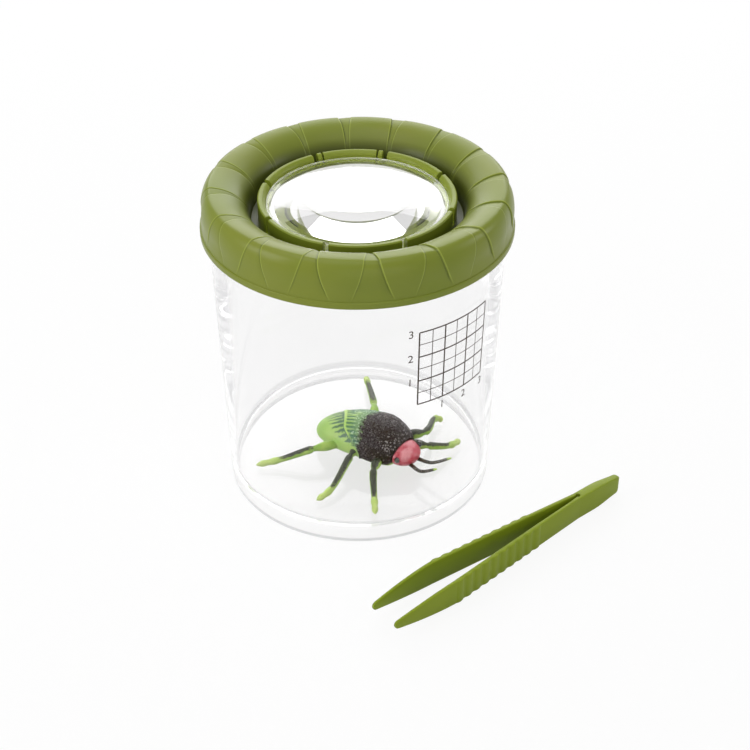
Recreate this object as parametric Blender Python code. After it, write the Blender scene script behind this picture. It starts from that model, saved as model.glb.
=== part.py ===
"""A bug viewer jar set: a clear jar with a push-on magnifier lid, a toy beetle and tweezers.

All lengths are in metres and all angles in degrees. The jar stands on z = 0 with its axis at the
jar_axis empty. The whole set is centred on the origin by its footprint.
"""
import math

import bmesh
import bpy
from mathutils import Matrix, Vector

# Clearance left between pieces that touch
fit_gap = 0.0003
merge_reach = 0.00001
smooth_angle = 35.0

# Jar: outer sizes of a straight tapered wall on a foot ring
jar_base_radius = 0.0490
jar_rim_radius = 0.05245
jar_height = 0.1130
jar_wall = 0.0016
jar_floor_top = 0.0072
jar_floor_thickness = 0.0016
jar_floor_fillet = 0.0010
jar_foot_round = 0.0006
jar_columns = 64

# Lid ring: a hollow crown with a skirt outside the jar's rim and a plug rib inside it
lid_skirt_wall = 0.00175
lid_lip_stand = 0.0005
lid_lip_height = 0.0026
lid_lip_round = 0.0005
lid_overlap = 0.0091
lid_shoulder_width = 0.0042
lid_crown_rise = 0.0074
lid_crown_outer_drop = 0.0083
lid_hole_wall_height = 0.0018
lid_shell = 0.0018
lid_web_drop = 0.0132
lid_web_thickness = 0.0018
lid_web_setback = 0.0004
lid_plug_thickness = 0.0015
lid_plug_depth = 0.0048
crown_outer_steps = 4
crown_inner_steps = 6
crown_under_steps = 4

# Leaf relief on the lid: broad petals with a sunk wedge between each two
petal_count = 16
petal_turn = 5.0
wedge_sink = 0.0005
wedge_lift_share = 0.45
relief_fade_share = 0.17
wedge_inner_angle = 2.4
wedge_skirt_angle = 15.5
step_angle = 0.7
petal_columns = 1
section_steps = 2
rim_steps = 4

# Lens collar: a ring cut into fingers, standing on the lid's web inside a groove
collar_radius = 0.0346
lid_groove_width = 0.0027
collar_wall = 0.0026
collar_height = 0.0082
collar_ledge_width = 0.0018
collar_base_height = 0.0021
collar_ledge_height = 0.0030
collar_inner_bevel = 0.0011
collar_outer_bevel = 0.0004
finger_slot_width = 0.0020
finger_slot_turn = 27.0
finger_count = 8
snap_slit_width = 0.0007
snap_slit_turn = 94.5
snap_slit_spread = 17.5
collar_columns = 48

# Magnifier lens: equal bulges above and below a round rim
lens_rim_height = 0.0030
lens_bulge = 0.0042
lens_rings = 5
lens_columns = 40

# Tweezers: a heel with two springy arms, lying on one edge
tweezers_heel_length = 0.0220
tweezers_length = 0.1138
heel_end_height = 0.0074
heel_height = 0.0098
heel_end_width = 0.0026
heel_width = 0.0038
heel_round = 0.0016
arm_thickness = 0.0015
arm_height = 0.0101
arm_tip_height = 0.0030
arm_tip_thickness = 0.0011
arm_taper_length = 0.0280
arm_spread = 0.0071
arm_tip_spread = 0.0064
arm_bend_place = 0.0870
throat_hole_radius = 0.0009
throat_hole_sides = 12
tip_ease = 1.6
tip_steps = 6
heel_round_steps = 2
rib_count = 10
rib_height = 0.0006
rib_start = 0.0440
rib_pitch = 0.0044
tweezers_x = 0.0967
tweezers_y = -0.0221
tweezers_turn = 218.6

# Toy beetle: x runs to its head, y to its left and z up from the jar's floor
beetle_x = 0.0031
beetle_y = -0.0039
beetle_turn = -39.5
beetle_tail = -0.0186
beetle_waist = 0.0054
beetle_neck = 0.0168
beetle_nose = 0.0236
beetle_half_width = 0.0115
beetle_belly = 0.0028
beetle_side = 0.0072
beetle_back = 0.0156
beetle_tail_swing = 0.0058
beetle_tail_droop = 0.0020
beetle_neck_height = 0.0118
beetle_neck_width = 0.0080
beetle_neck_belly = 0.0034
thorax_stand = 0.0005
head_half_width = 0.0066
head_top = 0.0105
head_belly = 0.0026
body_columns = 20
wing_rings = 8
wing_tail_angle = 12.0
thorax_rings = 5
head_rings = 5
head_nose_angle = 75.0

# Beetle limbs
hip_radius = 0.0016
thigh_radius = 0.0015
shin_radius = 0.0011
foot_radius = 0.0010
foot_bump = 0.0003
hip_height = 0.0058
knee_height = 0.0066
ankle_height = 0.0032
leg_wall_gap = 0.0076
feeler_root_radius = 0.0008
feeler_tip_radius = 0.0005
limb_steps = 4

# Each leg's hip, knee, ankle and foot as shares of leg_reach, which follows from the room that
# the jar leaves, and each feeler's root, bend and tip as shares of beetle_nose
leg_route_shares = {
    "beetle_leg_rear_right": ((-0.09, -0.20), (-0.30, -0.56), (-0.54, -0.81), (-0.73, -1.00)),
    "beetle_leg_mid_right": ((0.06, -0.19), (0.09, -0.40), (0.19, -0.82), (0.16, -1.04)),
    "beetle_leg_front_right": ((0.33, -0.17), (0.43, -0.43), (0.63, -0.67), (0.77, -0.83)),
    "beetle_leg_rear_left": ((-0.06, 0.19), (-0.26, 0.44), (-0.61, 0.77), (-0.74, 0.89)),
    "beetle_leg_mid_left": ((0.23, 0.19), (0.47, 0.42), (0.35, 0.76), (0.40, 0.87)),
    "beetle_leg_front_left": ((0.34, 0.14), (0.63, 0.26), (0.73, 0.50), (0.75, 0.71)),
}
feeler_route_shares = {
    "beetle_feeler_right": ((0.93, -0.09, 0.21), (1.21, -0.17, 0.26), (1.48, -0.11, 0.41)),
    "beetle_feeler_left": ((0.93, 0.09, 0.21), (1.24, 0.08, 0.29), (1.53, 0.20, 0.46)),
}

# Colours and finishes
leaf_green = (0.190, 0.240, 0.045, 1.0)
clear_plastic = (0.930, 0.940, 0.950, 1.0)
lime_green = (0.250, 0.560, 0.070, 1.0)
dark_maroon = (0.055, 0.022, 0.020, 1.0)
crimson = (0.480, 0.030, 0.060, 1.0)
dark_leg = (0.120, 0.160, 0.040, 1.0)
dark_brown = (0.050, 0.035, 0.020, 1.0)
polished = 0.05
satin = 0.35
matt = 0.50
mostly_clear = 0.90


def clear_scene():
    """Remove every object that the file opened with."""
    for old in list(bpy.data.objects):
        bpy.data.objects.remove(old, do_unlink=True)


def plain_material(name, colour, roughness, transmission=0.0):
    """A Principled BSDF of one colour."""
    material = bpy.data.materials.new(name)
    material.use_nodes = True
    shader = material.node_tree.nodes["Principled BSDF"]
    shader.inputs["Base Color"].default_value = colour
    shader.inputs["Roughness"].default_value = roughness
    shader.inputs["Metallic"].default_value = 0.0
    shader.inputs["Transmission Weight"].default_value = transmission
    return material


def new_empty(name, place, turn, parent=None):
    """An empty that carries other objects."""
    empty = bpy.data.objects.new(name, None)
    empty.location = place
    empty.rotation_euler = (0.0, 0.0, math.radians(turn))
    empty.parent = parent
    bpy.context.scene.collection.objects.link(empty)
    return empty


def new_object(name, mesh, parent, material):
    """Link a mesh as a named object that hangs from a parent."""
    made = bpy.data.objects.new(name, mesh)
    made.parent = parent
    made.data.materials.append(material)
    mesh.shade_smooth()
    mesh.set_sharp_from_angle(angle=math.radians(smooth_angle))
    bpy.context.scene.collection.objects.link(made)
    return made


def finish_mesh(name, bm):
    """Close up a bmesh, face it outwards and hand it over as a mesh."""
    bmesh.ops.remove_doubles(bm, verts=bm.verts, dist=merge_reach)
    bmesh.ops.recalc_face_normals(bm, faces=bm.faces)
    mesh = bpy.data.meshes.new(name)
    bm.to_mesh(mesh)
    bm.free()
    return mesh


def turned(name, profile, columns, closed, shape=None):
    """Spin a profile of (radius, height) points once round the z axis."""
    bm = bmesh.new()
    verts = [bm.verts.new((radius, 0.0, height)) for radius, height in profile]
    edges = [bm.edges.new(pair) for pair in zip(verts, verts[1:])]
    if closed:
        edges.append(bm.edges.new((verts[-1], verts[0])))
    bmesh.ops.spin(bm, geom=verts + edges, cent=(0.0, 0.0, 0.0), axis=(0.0, 0.0, 1.0),
                   angle=math.tau, steps=columns, use_merge=True)
    if shape:
        shape(bm)
    return finish_mesh(name, bm)


def lofted(name, rings):
    """Join rings of points, all with the same count, and close both ends."""
    bm = bmesh.new()
    loops = [[bm.verts.new(point) for point in ring] for ring in rings]
    count = len(loops[0])
    for near, far in zip(loops, loops[1:]):
        for place in range(count):
            after = (place + 1) % count
            bm.faces.new((near[place], near[after], far[after], far[place]))
    bm.faces.new(loops[0])
    bm.faces.new(loops[-1])
    return finish_mesh(name, bm)


def arc(centre, width, height, start, end, steps):
    """Points along a stretch of an upright ellipse, from one angle to another."""
    points = []
    for step in range(steps + 1):
        angle = math.radians(start + (end - start) * step / steps)
        points.append((centre[0] + width * math.cos(angle), centre[1] + height * math.sin(angle)))
    return points


def cut_with(target, cutter):
    """Cut one object by another, which is then only a guide."""
    cutter.hide_render = True
    cutter.display_type = "WIRE"
    cut = target.modifiers.new("cut_" + cutter.name, "BOOLEAN")
    cut.operation = "DIFFERENCE"
    cut.solver = "EXACT"
    cut.object = cutter


def box_mesh(name, low, high):
    """A box between two corners."""
    bm = bmesh.new()
    bmesh.ops.create_cube(bm, size=1.0)
    for vert in bm.verts:
        for axis in range(3):
            vert.co[axis] = high[axis] if vert.co[axis] > 0.0 else low[axis]
    return finish_mesh(name, bm)


# Jar

def jar_outer_radius(height):
    """The outer radius of the tapered wall at a height."""
    return jar_base_radius + (jar_rim_radius - jar_base_radius) * height / jar_height


def jar_inner_radius(height):
    """The inner radius of the tapered wall at a height."""
    return jar_outer_radius(height) - jar_wall


def jar_profile():
    """The jar's section, from the middle of its floor out, over the rim and back below."""
    rim_round = jar_wall / 2.0
    rim_middle = jar_rim_radius - rim_round
    fillet_top = jar_floor_top + jar_floor_fillet
    fillet_middle = (jar_inner_radius(fillet_top) - jar_floor_fillet, fillet_top)
    underside = jar_floor_top - jar_floor_thickness
    foot_inner = jar_base_radius - jar_wall
    foot_middle = (jar_base_radius - jar_foot_round, jar_foot_round)
    profile = [(0.0, jar_floor_top)]
    profile += arc(fillet_middle, jar_floor_fillet, jar_floor_fillet, -90.0, 0.0, section_steps)
    profile += arc((rim_middle, jar_height - rim_round), rim_round, rim_round, 180.0, 0.0, rim_steps)
    profile += arc(foot_middle, jar_foot_round, jar_foot_round, 0.0, -90.0, section_steps)
    profile += [(foot_inner, 0.0), (foot_inner, underside), (0.0, underside)]
    return profile


# Lid ring

collar_inner = collar_radius - collar_wall
ledge_radius = collar_inner - collar_ledge_width
lid_stop = jar_height + fit_gap
lid_slot_outer = jar_rim_radius + fit_gap
lid_skirt_radius = lid_slot_outer + lid_skirt_wall
lid_crown_radius = lid_skirt_radius - lid_shoulder_width
lid_hole_radius = collar_radius + lid_groove_width
lid_web_hole_radius = ledge_radius - lid_web_setback
lid_skirt_bottom = jar_height - lid_overlap
lid_crown_top = jar_height + lid_crown_rise
lid_web_top = lid_crown_top - lid_web_drop
lid_web_bottom = lid_web_top - lid_web_thickness
lid_outer_spring = lid_crown_top - lid_crown_outer_drop
lid_inner_spring = lid_web_top + lid_hole_wall_height
lid_plug_bottom = jar_height - lid_plug_depth
lid_plug_outer = jar_inner_radius(lid_plug_bottom) - fit_gap
lid_plug_inner = lid_plug_outer - lid_plug_thickness


def crown_outside():
    """The crown's upper surface, from the hole's edge over the top to the lip."""
    inner_width = lid_crown_radius - lid_hole_radius
    outer_width = lid_skirt_radius - lid_crown_radius
    inner = arc((lid_crown_radius, lid_inner_spring), inner_width,
                lid_crown_top - lid_inner_spring, 180.0, 90.0, crown_inner_steps)
    outer = arc((lid_crown_radius, lid_outer_spring), outer_width, lid_crown_outer_drop,
                90.0, 0.0, crown_outer_steps)
    return inner + outer[1:]


def lid_profile():
    """The lid's section: up the hole's wall, over the crown, round the lip and back inside."""
    lip_top = lid_skirt_bottom + lid_lip_height
    lip_radius = lid_skirt_radius + lid_lip_stand
    wall_inner = lid_hole_radius + lid_shell
    under_width = lid_plug_inner - wall_inner
    under_height = lid_crown_top - lid_inner_spring - lid_shell
    under = arc((lid_plug_inner, lid_inner_spring), under_width, under_height,
                90.0, 180.0, crown_under_steps)
    profile = [(lid_web_hole_radius, lid_web_bottom), (lid_web_hole_radius, lid_web_top)]
    profile += [(lid_hole_radius, lid_web_top)]
    profile += crown_outside()
    profile += [(lid_skirt_radius, lip_top), (lip_radius, lip_top - lid_lip_round)]
    profile += [(lip_radius, lid_skirt_bottom), (lid_slot_outer, lid_skirt_bottom)]
    profile += [(lid_slot_outer, lid_stop), (lid_plug_outer, lid_stop)]
    profile += [(lid_plug_outer, lid_plug_bottom), (lid_plug_inner, lid_plug_bottom)]
    profile += under
    profile += [(wall_inner, lid_web_bottom)]
    return profile


def crown_share(radius, height):
    """How far a point of the lid's outside lies on its way from the hole to the lip, 0 to 1."""
    if radius <= lid_crown_radius:
        return 0.5 * (radius - lid_hole_radius) / (lid_crown_radius - lid_hole_radius)
    drop = lid_crown_top - height
    return 0.5 + 0.5 * drop / (lid_crown_top - lid_skirt_bottom - lid_lip_height)


def petal_places():
    """Where the columns of one petal lie: a name for each, from one wedge's middle to the next."""
    places = ["wedge_end", "petal_start"]
    places += ["petal_middle"] * petal_columns
    places += ["petal_end", "wedge_start"]
    return places


def shape_petals(bm):
    """Shift the lid's columns onto the edges of the petals and sink the wedges between them."""
    places = petal_places()
    per_petal = len(places)
    pitch = 360.0 / petal_count
    outside = {(round(radius, 6), round(height, 6)) for radius, height in crown_outside()}
    for vert in bm.verts:
        radius = math.hypot(vert.co.x, vert.co.y)
        turn = math.degrees(math.atan2(vert.co.y, vert.co.x)) % 360.0
        column = round(turn / 360.0 * petal_count * per_petal)
        petal, place = divmod(column, per_petal)
        share = 0.0
        on_crown = (round(radius, 6), round(vert.co.z, 6)) in outside
        if radius > lid_hole_radius - fit_gap:
            share = min(max(crown_share(radius, vert.co.z), 0.0), 1.0)
        half_wedge = (wedge_inner_angle + (wedge_skirt_angle - wedge_inner_angle) * share ** 2) / 2.0
        left = petal * pitch + half_wedge
        right = (petal + 1) * pitch - half_wedge
        steps = petal_columns + 1
        angle = left + (right - left) * (place - 1) / steps
        if places[place] == "wedge_end":
            angle = left - step_angle
        if places[place] == "wedge_start":
            angle = right + step_angle
        sink = 0.0
        if on_crown and places[place] == "wedge_end":
            sink = wedge_sink
        if on_crown and places[place] == "wedge_start":
            sink = wedge_sink * wedge_lift_share
        sink *= min(1.0, share / relief_fade_share, (1.0 - share) / relief_fade_share)
        angle = math.radians(angle + petal_turn)
        new_radius = radius - sink * lean(radius)
        vert.co.x = new_radius * math.cos(angle)
        vert.co.y = new_radius * math.sin(angle)
        vert.co.z -= sink * (1.0 - lean(radius))


def lean(radius):
    """How much of the crown's surface normal points outwards at a radius, 0 to 1."""
    reach = (radius - lid_crown_radius) / (lid_skirt_radius - lid_crown_radius)
    return min(max(reach, 0.0), 1.0)


# Lens collar and lens

collar_bottom = lid_web_top + fit_gap
collar_top = collar_bottom + collar_height
lens_radius = collar_inner - fit_gap
lens_rim_bottom = collar_bottom + collar_ledge_height + fit_gap
lens_rim_top = lens_rim_bottom + lens_rim_height
slot_bottom = collar_bottom + collar_base_height


def collar_profile():
    """The collar's section: an upright wall with a ledge inside for the lens."""
    ledge_top = collar_bottom + collar_ledge_height
    return [
        (ledge_radius, collar_bottom),
        (ledge_radius, ledge_top),
        (collar_inner, ledge_top),
        (collar_inner, collar_top - collar_inner_bevel),
        (collar_inner + collar_inner_bevel, collar_top),
        (collar_radius - collar_outer_bevel, collar_top),
        (collar_radius, collar_top - collar_outer_bevel),
        (collar_radius, collar_bottom),
    ]


def slot_cutter(name, width, turn, parent):
    """A thin upright blade from the axis out past the collar, above its unbroken base."""
    reach = collar_radius + collar_wall
    top = collar_top + collar_wall
    mesh = box_mesh(name, (0.0, -width / 2.0, slot_bottom), (reach, width / 2.0, top))
    cutter = bpy.data.objects.new(name, mesh)
    cutter.parent = parent
    cutter.rotation_euler = (0.0, 0.0, math.radians(turn))
    bpy.context.scene.collection.objects.link(cutter)
    return cutter


def cut_fingers(collar, parent):
    """Part the collar into fingers, and slit the back one beside its snap."""
    for number in range(finger_count):
        turn = finger_slot_turn + number * 360.0 / finger_count
        cut_with(collar, slot_cutter("finger_slot_%d" % (number + 1), finger_slot_width, turn, parent))
    for number, side in enumerate((-1.0, 1.0)):
        turn = snap_slit_turn + side * snap_slit_spread
        cut_with(collar, slot_cutter("snap_slit_%d" % (number + 1), snap_slit_width, turn, parent))


def lens_profile():
    """The lens's section, from the middle of its top face over its flat rim to the bottom's."""
    edge = ledge_radius - fit_gap
    ball_radius = (edge ** 2 + lens_bulge ** 2) / (2.0 * lens_bulge)
    bulge = []
    for ring in range(lens_rings + 1):
        radius = edge * ring / lens_rings
        rise = math.sqrt(ball_radius ** 2 - radius ** 2) - (ball_radius - lens_bulge)
        bulge.append((radius, rise))
    upper = [(radius, lens_rim_top + rise) for radius, rise in bulge]
    lower = [(radius, lens_rim_bottom - rise) for radius, rise in reversed(bulge)]
    return upper + [(lens_radius, lens_rim_top), (lens_radius, lens_rim_bottom)] + lower


# Tweezers

def strip_ring(place, inner, outer, low, high, corner):
    """A four-sided section with cut corners, across a strip that runs along x."""
    return [
        Vector((place, inner + corner, low)),
        Vector((place, outer - corner, low)),
        Vector((place, outer, low + corner)),
        Vector((place, outer, high - corner)),
        Vector((place, outer - corner, high)),
        Vector((place, inner + corner, high)),
        Vector((place, inner, high - corner)),
        Vector((place, inner, low + corner)),
    ]


def share_between(value, start, end):
    """How far a value lies from a start to an end, kept from 0 to 1."""
    return min(max((value - start) / (end - start), 0.0), 1.0)


def heel_mesh():
    """The joined end of the tweezers, rounded at its tail."""
    corner = arm_thickness / 4.0
    half_width = heel_width / 2.0
    rings = []
    for step in range(heel_round_steps + 1):
        angle = math.radians(90.0 * step / heel_round_steps)
        place = heel_round * (1.0 - math.cos(angle))
        pull = heel_round * (1.0 - math.sin(angle)) / 2.0
        end_half = (heel_end_width - pull) / 2.0
        low = (heel_height - heel_end_height) / 2.0 + pull
        rings.append(strip_ring(place, -end_half, end_half, low, heel_height - low, corner))
    for place in (tweezers_heel_length / 2.0, tweezers_heel_length):
        rings.append(strip_ring(place, -half_width, half_width, 0.0, heel_height, corner))
    return lofted("tweezers_heel", rings)


def throat_cutter(parent):
    """The upright round hole that ends the slit between the arms."""
    bm = bmesh.new()
    bmesh.ops.create_cone(bm, cap_ends=True, segments=throat_hole_sides, radius1=throat_hole_radius,
                          radius2=throat_hole_radius, depth=2.0 * heel_height)
    cutter = bpy.data.objects.new("throat_hole", finish_mesh("throat_hole", bm))
    cutter.location = (tweezers_heel_length - throat_hole_radius / 2.0, 0.0, heel_height / 2.0)
    cutter.parent = parent
    bpy.context.scene.collection.objects.link(cutter)
    return cutter


def arm_outer(place):
    """How far the outside of an arm stands from the middle line, at a place along it."""
    open_share = share_between(place, tweezers_heel_length, arm_bend_place)
    bend_share = share_between(place, arm_bend_place, tweezers_length)
    spread = heel_width / 2.0 + (arm_spread - heel_width / 2.0) * open_share
    return spread + (arm_tip_spread - arm_spread) * bend_share ** 2


def arm_levels(place):
    """The lower and upper edges of an arm at a place along it."""
    settle = share_between(place, tweezers_heel_length, rib_start)
    taper = share_between(place, tweezers_length - arm_taper_length, tweezers_length) ** tip_ease
    height = heel_height + (arm_height - heel_height) * settle
    tip_low = (arm_height - arm_tip_height) / 2.0
    tip_high = tip_low + arm_tip_height
    return tip_low * taper, height + (tip_high - height) * taper


def arm_stations():
    """Places along an arm, with how proud of its outside each one stands."""
    root = tweezers_heel_length + fit_gap
    stations = [(root, 0.0), ((root + rib_start) / 2.0, 0.0)]
    for rib in range(rib_count):
        start = rib_start + rib * rib_pitch
        stations += [(start, 0.0), (start + rib_pitch / 4.0, rib_height)]
        stations += [(start + rib_pitch / 2.0, rib_height), (start + rib_pitch * 3.0 / 4.0, 0.0)]
    last = stations[-1][0]
    stations += [(last + (tweezers_length - last) * step / tip_steps, 0.0)
                 for step in range(1, tip_steps + 1)]
    return stations


def arm_mesh(name, side):
    """One arm, on the side given by the sign, with grip ribs and a tapered tip."""
    rings = []
    for place, proud in arm_stations():
        taper = share_between(place, tweezers_length - arm_taper_length, tweezers_length)
        thickness = arm_thickness + (arm_tip_thickness - arm_thickness) * taper
        outer = arm_outer(place)
        low, high = arm_levels(place)
        ring = strip_ring(place, outer - thickness, outer + proud, low, high, thickness / 4.0)
        rings.append([Vector((point.x, side * point.y, point.z)) for point in ring])
    return lofted(name, rings)


# Beetle body

def body_section(place, half_width, top, belly, grow):
    """An egg-shaped section of the beetle's body at a place along it."""
    behind = max(0.0, (beetle_waist - place) / (beetle_waist - beetle_tail))
    swing = beetle_tail_swing * behind
    droop = beetle_tail_droop * behind ** 2
    ring = []
    for column in range(body_columns):
        angle = math.tau * column / body_columns
        height = top - beetle_side if math.sin(angle) > 0.0 else beetle_side - belly
        ring.append(Vector((
            place,
            (half_width + grow) * math.cos(angle) - swing,
            beetle_side + (height + grow) * math.sin(angle) - droop,
        )))
    return ring


def wing_cases_outline(grow):
    """The wing cases, from their round tail to a flat front behind the thorax."""
    front = beetle_waist - fit_gap / 2.0 + grow
    tail_angle = math.radians(wing_tail_angle)
    rings = []
    for ring in range(wing_rings + 1):
        angle = tail_angle + (math.pi / 2.0 - tail_angle) * ring / wing_rings
        reach = math.sin(angle)
        place = front + (beetle_tail - grow - front) * math.cos(angle) / math.cos(tail_angle)
        top = beetle_side + (beetle_back - beetle_side) * reach
        belly = beetle_side - (beetle_side - beetle_belly) * reach
        rings.append(body_section(place, beetle_half_width * reach, top, belly, grow))
    return rings


def thorax_outline(grow):
    """The thorax shield, from the waist to the neck."""
    rear = beetle_waist + fit_gap / 2.0 - grow
    front = beetle_neck + grow
    rings = []
    for ring in range(thorax_rings + 1):
        share = ring / thorax_rings
        fall = share ** 2
        half_width = beetle_half_width + thorax_stand
        half_width += (beetle_neck_width - half_width) * fall
        top = beetle_back + thorax_stand
        top += (beetle_neck_height - top) * fall
        belly = beetle_belly + (beetle_neck_belly - beetle_belly) * fall
        place = rear + (front - rear) * share
        rings.append(body_section(place, half_width, top, belly, grow))
    return rings


def head_outline(grow):
    """The head, from the neck to a blunt nose."""
    rear = beetle_neck + fit_gap - grow
    nose_angle = math.radians(head_nose_angle)
    rings = []
    for ring in range(head_rings + 1):
        angle = nose_angle * ring / head_rings
        reach = math.cos(angle)
        place = rear + (beetle_nose + grow - rear) * math.sin(angle) / math.sin(nose_angle)
        top = beetle_side + (head_top - beetle_side) * reach
        belly = beetle_side - (beetle_side - head_belly) * reach
        rings.append(body_section(place, head_half_width * reach, top, belly, grow))
    return rings


# Beetle limbs: each route runs from the hip, inside the body, by the knee and ankle to the foot

foot_height = fit_gap + foot_radius + foot_bump
leg_reach = jar_inner_radius(jar_floor_top) - math.hypot(beetle_x, beetle_y) - leg_wall_gap


def smooth_route(points, steps):
    """Points on a smooth curve that passes through the given ones."""
    ends = [points[0] * 2.0 - points[1]] + points + [points[-1] * 2.0 - points[-2]]
    route = []
    for first, second, third, fourth in zip(ends, ends[1:], ends[2:], ends[3:]):
        for step in range(steps):
            share = step / steps
            route.append(0.5 * (
                second * 2.0
                + (third - first) * share
                + (first * 2.0 - second * 5.0 + third * 4.0 - fourth) * share ** 2
                + (second * 3.0 - first - third * 3.0 + fourth) * share ** 3
            ))
    return route + [points[-1]]


def limb_mesh(name, route, radii):
    """A round limb along a route, as a bevelled curve with closed ends."""
    curve = bpy.data.curves.new(name + "_route", "CURVE")
    curve.dimensions = "3D"
    curve.bevel_depth = 1.0
    curve.bevel_resolution = 2
    curve.use_fill_caps = True
    spline = curve.splines.new("POLY")
    spline.points.add(len(route) - 1)
    for point, place, radius in zip(spline.points, route, radii):
        point.co = (place.x, place.y, place.z, 1.0)
        point.radius = radius
    guide = bpy.data.objects.new(name + "_route", curve)
    bpy.context.scene.collection.objects.link(guide)
    bpy.context.view_layer.update()
    seen = guide.evaluated_get(bpy.context.evaluated_depsgraph_get())
    mesh = bpy.data.meshes.new_from_object(seen)
    bpy.data.objects.remove(guide, do_unlink=True)
    bm = bmesh.new()
    bm.from_mesh(mesh)
    return finish_mesh(name, bm)


def leg_mesh(name, shares):
    """One leg: a thick thigh, a thinner shin and a knobbly foot."""
    heights = (hip_height, knee_height, ankle_height, foot_height)
    points = [Vector((along * leg_reach, across * leg_reach, height))
              for (along, across), height in zip(shares, heights)]
    route = smooth_route(points, limb_steps)
    radii = []
    for index in range(len(route)):
        share = index / limb_steps
        if share <= 1.0:
            radius = hip_radius + (thigh_radius - hip_radius) * share
        elif share <= 2.0:
            radius = thigh_radius + (shin_radius - thigh_radius) * (share - 1.0)
        else:
            bump = foot_bump if index % 2 else 0.0
            radius = shin_radius + (foot_radius - shin_radius) * (share - 2.0) + bump
        radii.append(radius)
    radii[-1] = foot_radius
    return limb_mesh(name, route, radii)


def feeler_mesh(name, shares):
    """One curved feeler that thins towards its tip."""
    route = smooth_route([Vector(point_shares) * beetle_nose for point_shares in shares], limb_steps)
    count = len(route) - 1
    radii = [feeler_root_radius + (feeler_tip_radius - feeler_root_radius) * index / count
             for index in range(count + 1)]
    return limb_mesh(name, route, radii)


def build_jar(parent):
    """The clear jar."""
    mesh = turned("jar_body", jar_profile(), jar_columns, closed=False)
    new_object("jar_body", mesh, parent, plain_material("jar_plastic", clear_plastic, polished, mostly_clear))


def build_lid(parent):
    """The lid ring, with the collar and the lens that it carries."""
    columns = petal_count * len(petal_places())
    ring = turned("lid_ring", lid_profile(), columns, closed=True, shape=shape_petals)
    new_object("lid_ring", ring, parent, plain_material("lid_plastic", leaf_green, satin))
    collar = new_object("lens_collar", turned("lens_collar", collar_profile(), collar_columns, closed=True),
                        parent, plain_material("collar_plastic", leaf_green, satin))
    cut_fingers(collar, parent)
    lens = turned("magnifier_lens", lens_profile(), lens_columns, closed=False)
    new_object("magnifier_lens", lens, parent,
               plain_material("lens_plastic", clear_plastic, polished, mostly_clear))


def build_tweezers(parent):
    """The heel of the tweezers and its two arms, each hung from its place of bending."""
    heel = new_object("tweezers_heel", heel_mesh(), parent,
                      plain_material("tweezers_heel_plastic", leaf_green, satin))
    cut_with(heel, throat_cutter(parent))
    bend = tweezers_heel_length + fit_gap
    root = arm_outer(bend) - arm_thickness / 2.0
    for name, side in (("near", 1.0), ("far", -1.0)):
        pivot = new_empty("tweezers_%s_bend" % name, (bend, side * root, 0.0), 0.0, parent)
        mesh = arm_mesh("tweezers_%s_arm" % name, side)
        mesh.transform(Matrix.Translation((-bend, -side * root, 0.0)))
        material = plain_material("tweezers_%s_plastic" % name, leaf_green, satin)
        new_object("tweezers_%s_arm" % name, mesh, pivot, material)


def clearance_guide(name, rings, parent):
    """A body of the beetle grown by the fit gap, to cut its limbs with."""
    return new_object(name, lofted(name, rings), parent, plain_material(name, clear_plastic, matt))


def build_beetle(parent):
    """The toy beetle, standing on the jar's floor."""
    bodies = (
        ("beetle_wing_cases", wing_cases_outline, lime_green, satin),
        ("beetle_thorax", thorax_outline, dark_maroon, matt),
        ("beetle_head", head_outline, crimson, satin),
    )
    guides = []
    for name, outline, colour, roughness in bodies:
        paint = plain_material(name + "_paint", colour, roughness)
        new_object(name, lofted(name, outline(0.0)), parent, paint)
        guides.append(clearance_guide(name + "_clearance", outline(fit_gap), parent))
    limbs = [(name, leg_mesh(name, shares), dark_leg) for name, shares in leg_route_shares.items()]
    limbs += [(name, feeler_mesh(name, shares), dark_brown) for name, shares in feeler_route_shares.items()]
    for name, mesh, colour in limbs:
        limb = new_object(name, mesh, parent, plain_material(name + "_paint", colour, satin))
        for guide in guides:
            cut_with(limb, guide)


def centre_footprint(holder):
    """Move the whole set so that the middle of its footprint is the origin."""
    bpy.context.view_layer.update()
    graph = bpy.context.evaluated_depsgraph_get()
    corners = []
    for thing in bpy.context.scene.objects:
        if thing.type == "MESH" and not thing.hide_render:
            seen = thing.evaluated_get(graph)
            corners += [seen.matrix_world @ vert.co for vert in seen.data.vertices]
    for axis in range(2):
        places = [corner[axis] for corner in corners]
        holder.location[axis] = -(min(places) + max(places)) / 2.0
    bpy.context.view_layer.update()


def main():
    """Build the whole set."""
    clear_scene()
    jar_axis = new_empty("jar_axis", (0.0, 0.0, 0.0), 0.0)
    build_jar(jar_axis)
    build_lid(new_empty("lid_pull", (0.0, 0.0, 0.0), 0.0, jar_axis))
    build_tweezers(new_empty("tweezers_place", (tweezers_x, tweezers_y, 0.0), tweezers_turn, jar_axis))
    build_beetle(new_empty("beetle_place", (beetle_x, beetle_y, jar_floor_top), beetle_turn, jar_axis))
    centre_footprint(jar_axis)


main()
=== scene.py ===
"""The looks of the bug viewer jar set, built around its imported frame.

All lengths are in metres and all angles in degrees, unless a comment says otherwise. Azimuths on
the jar are counted from +X, so that the front, towards the camera, is at -90.
"""
import math

import bmesh
import bpy
from mathutils import Matrix, Vector, noise


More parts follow.
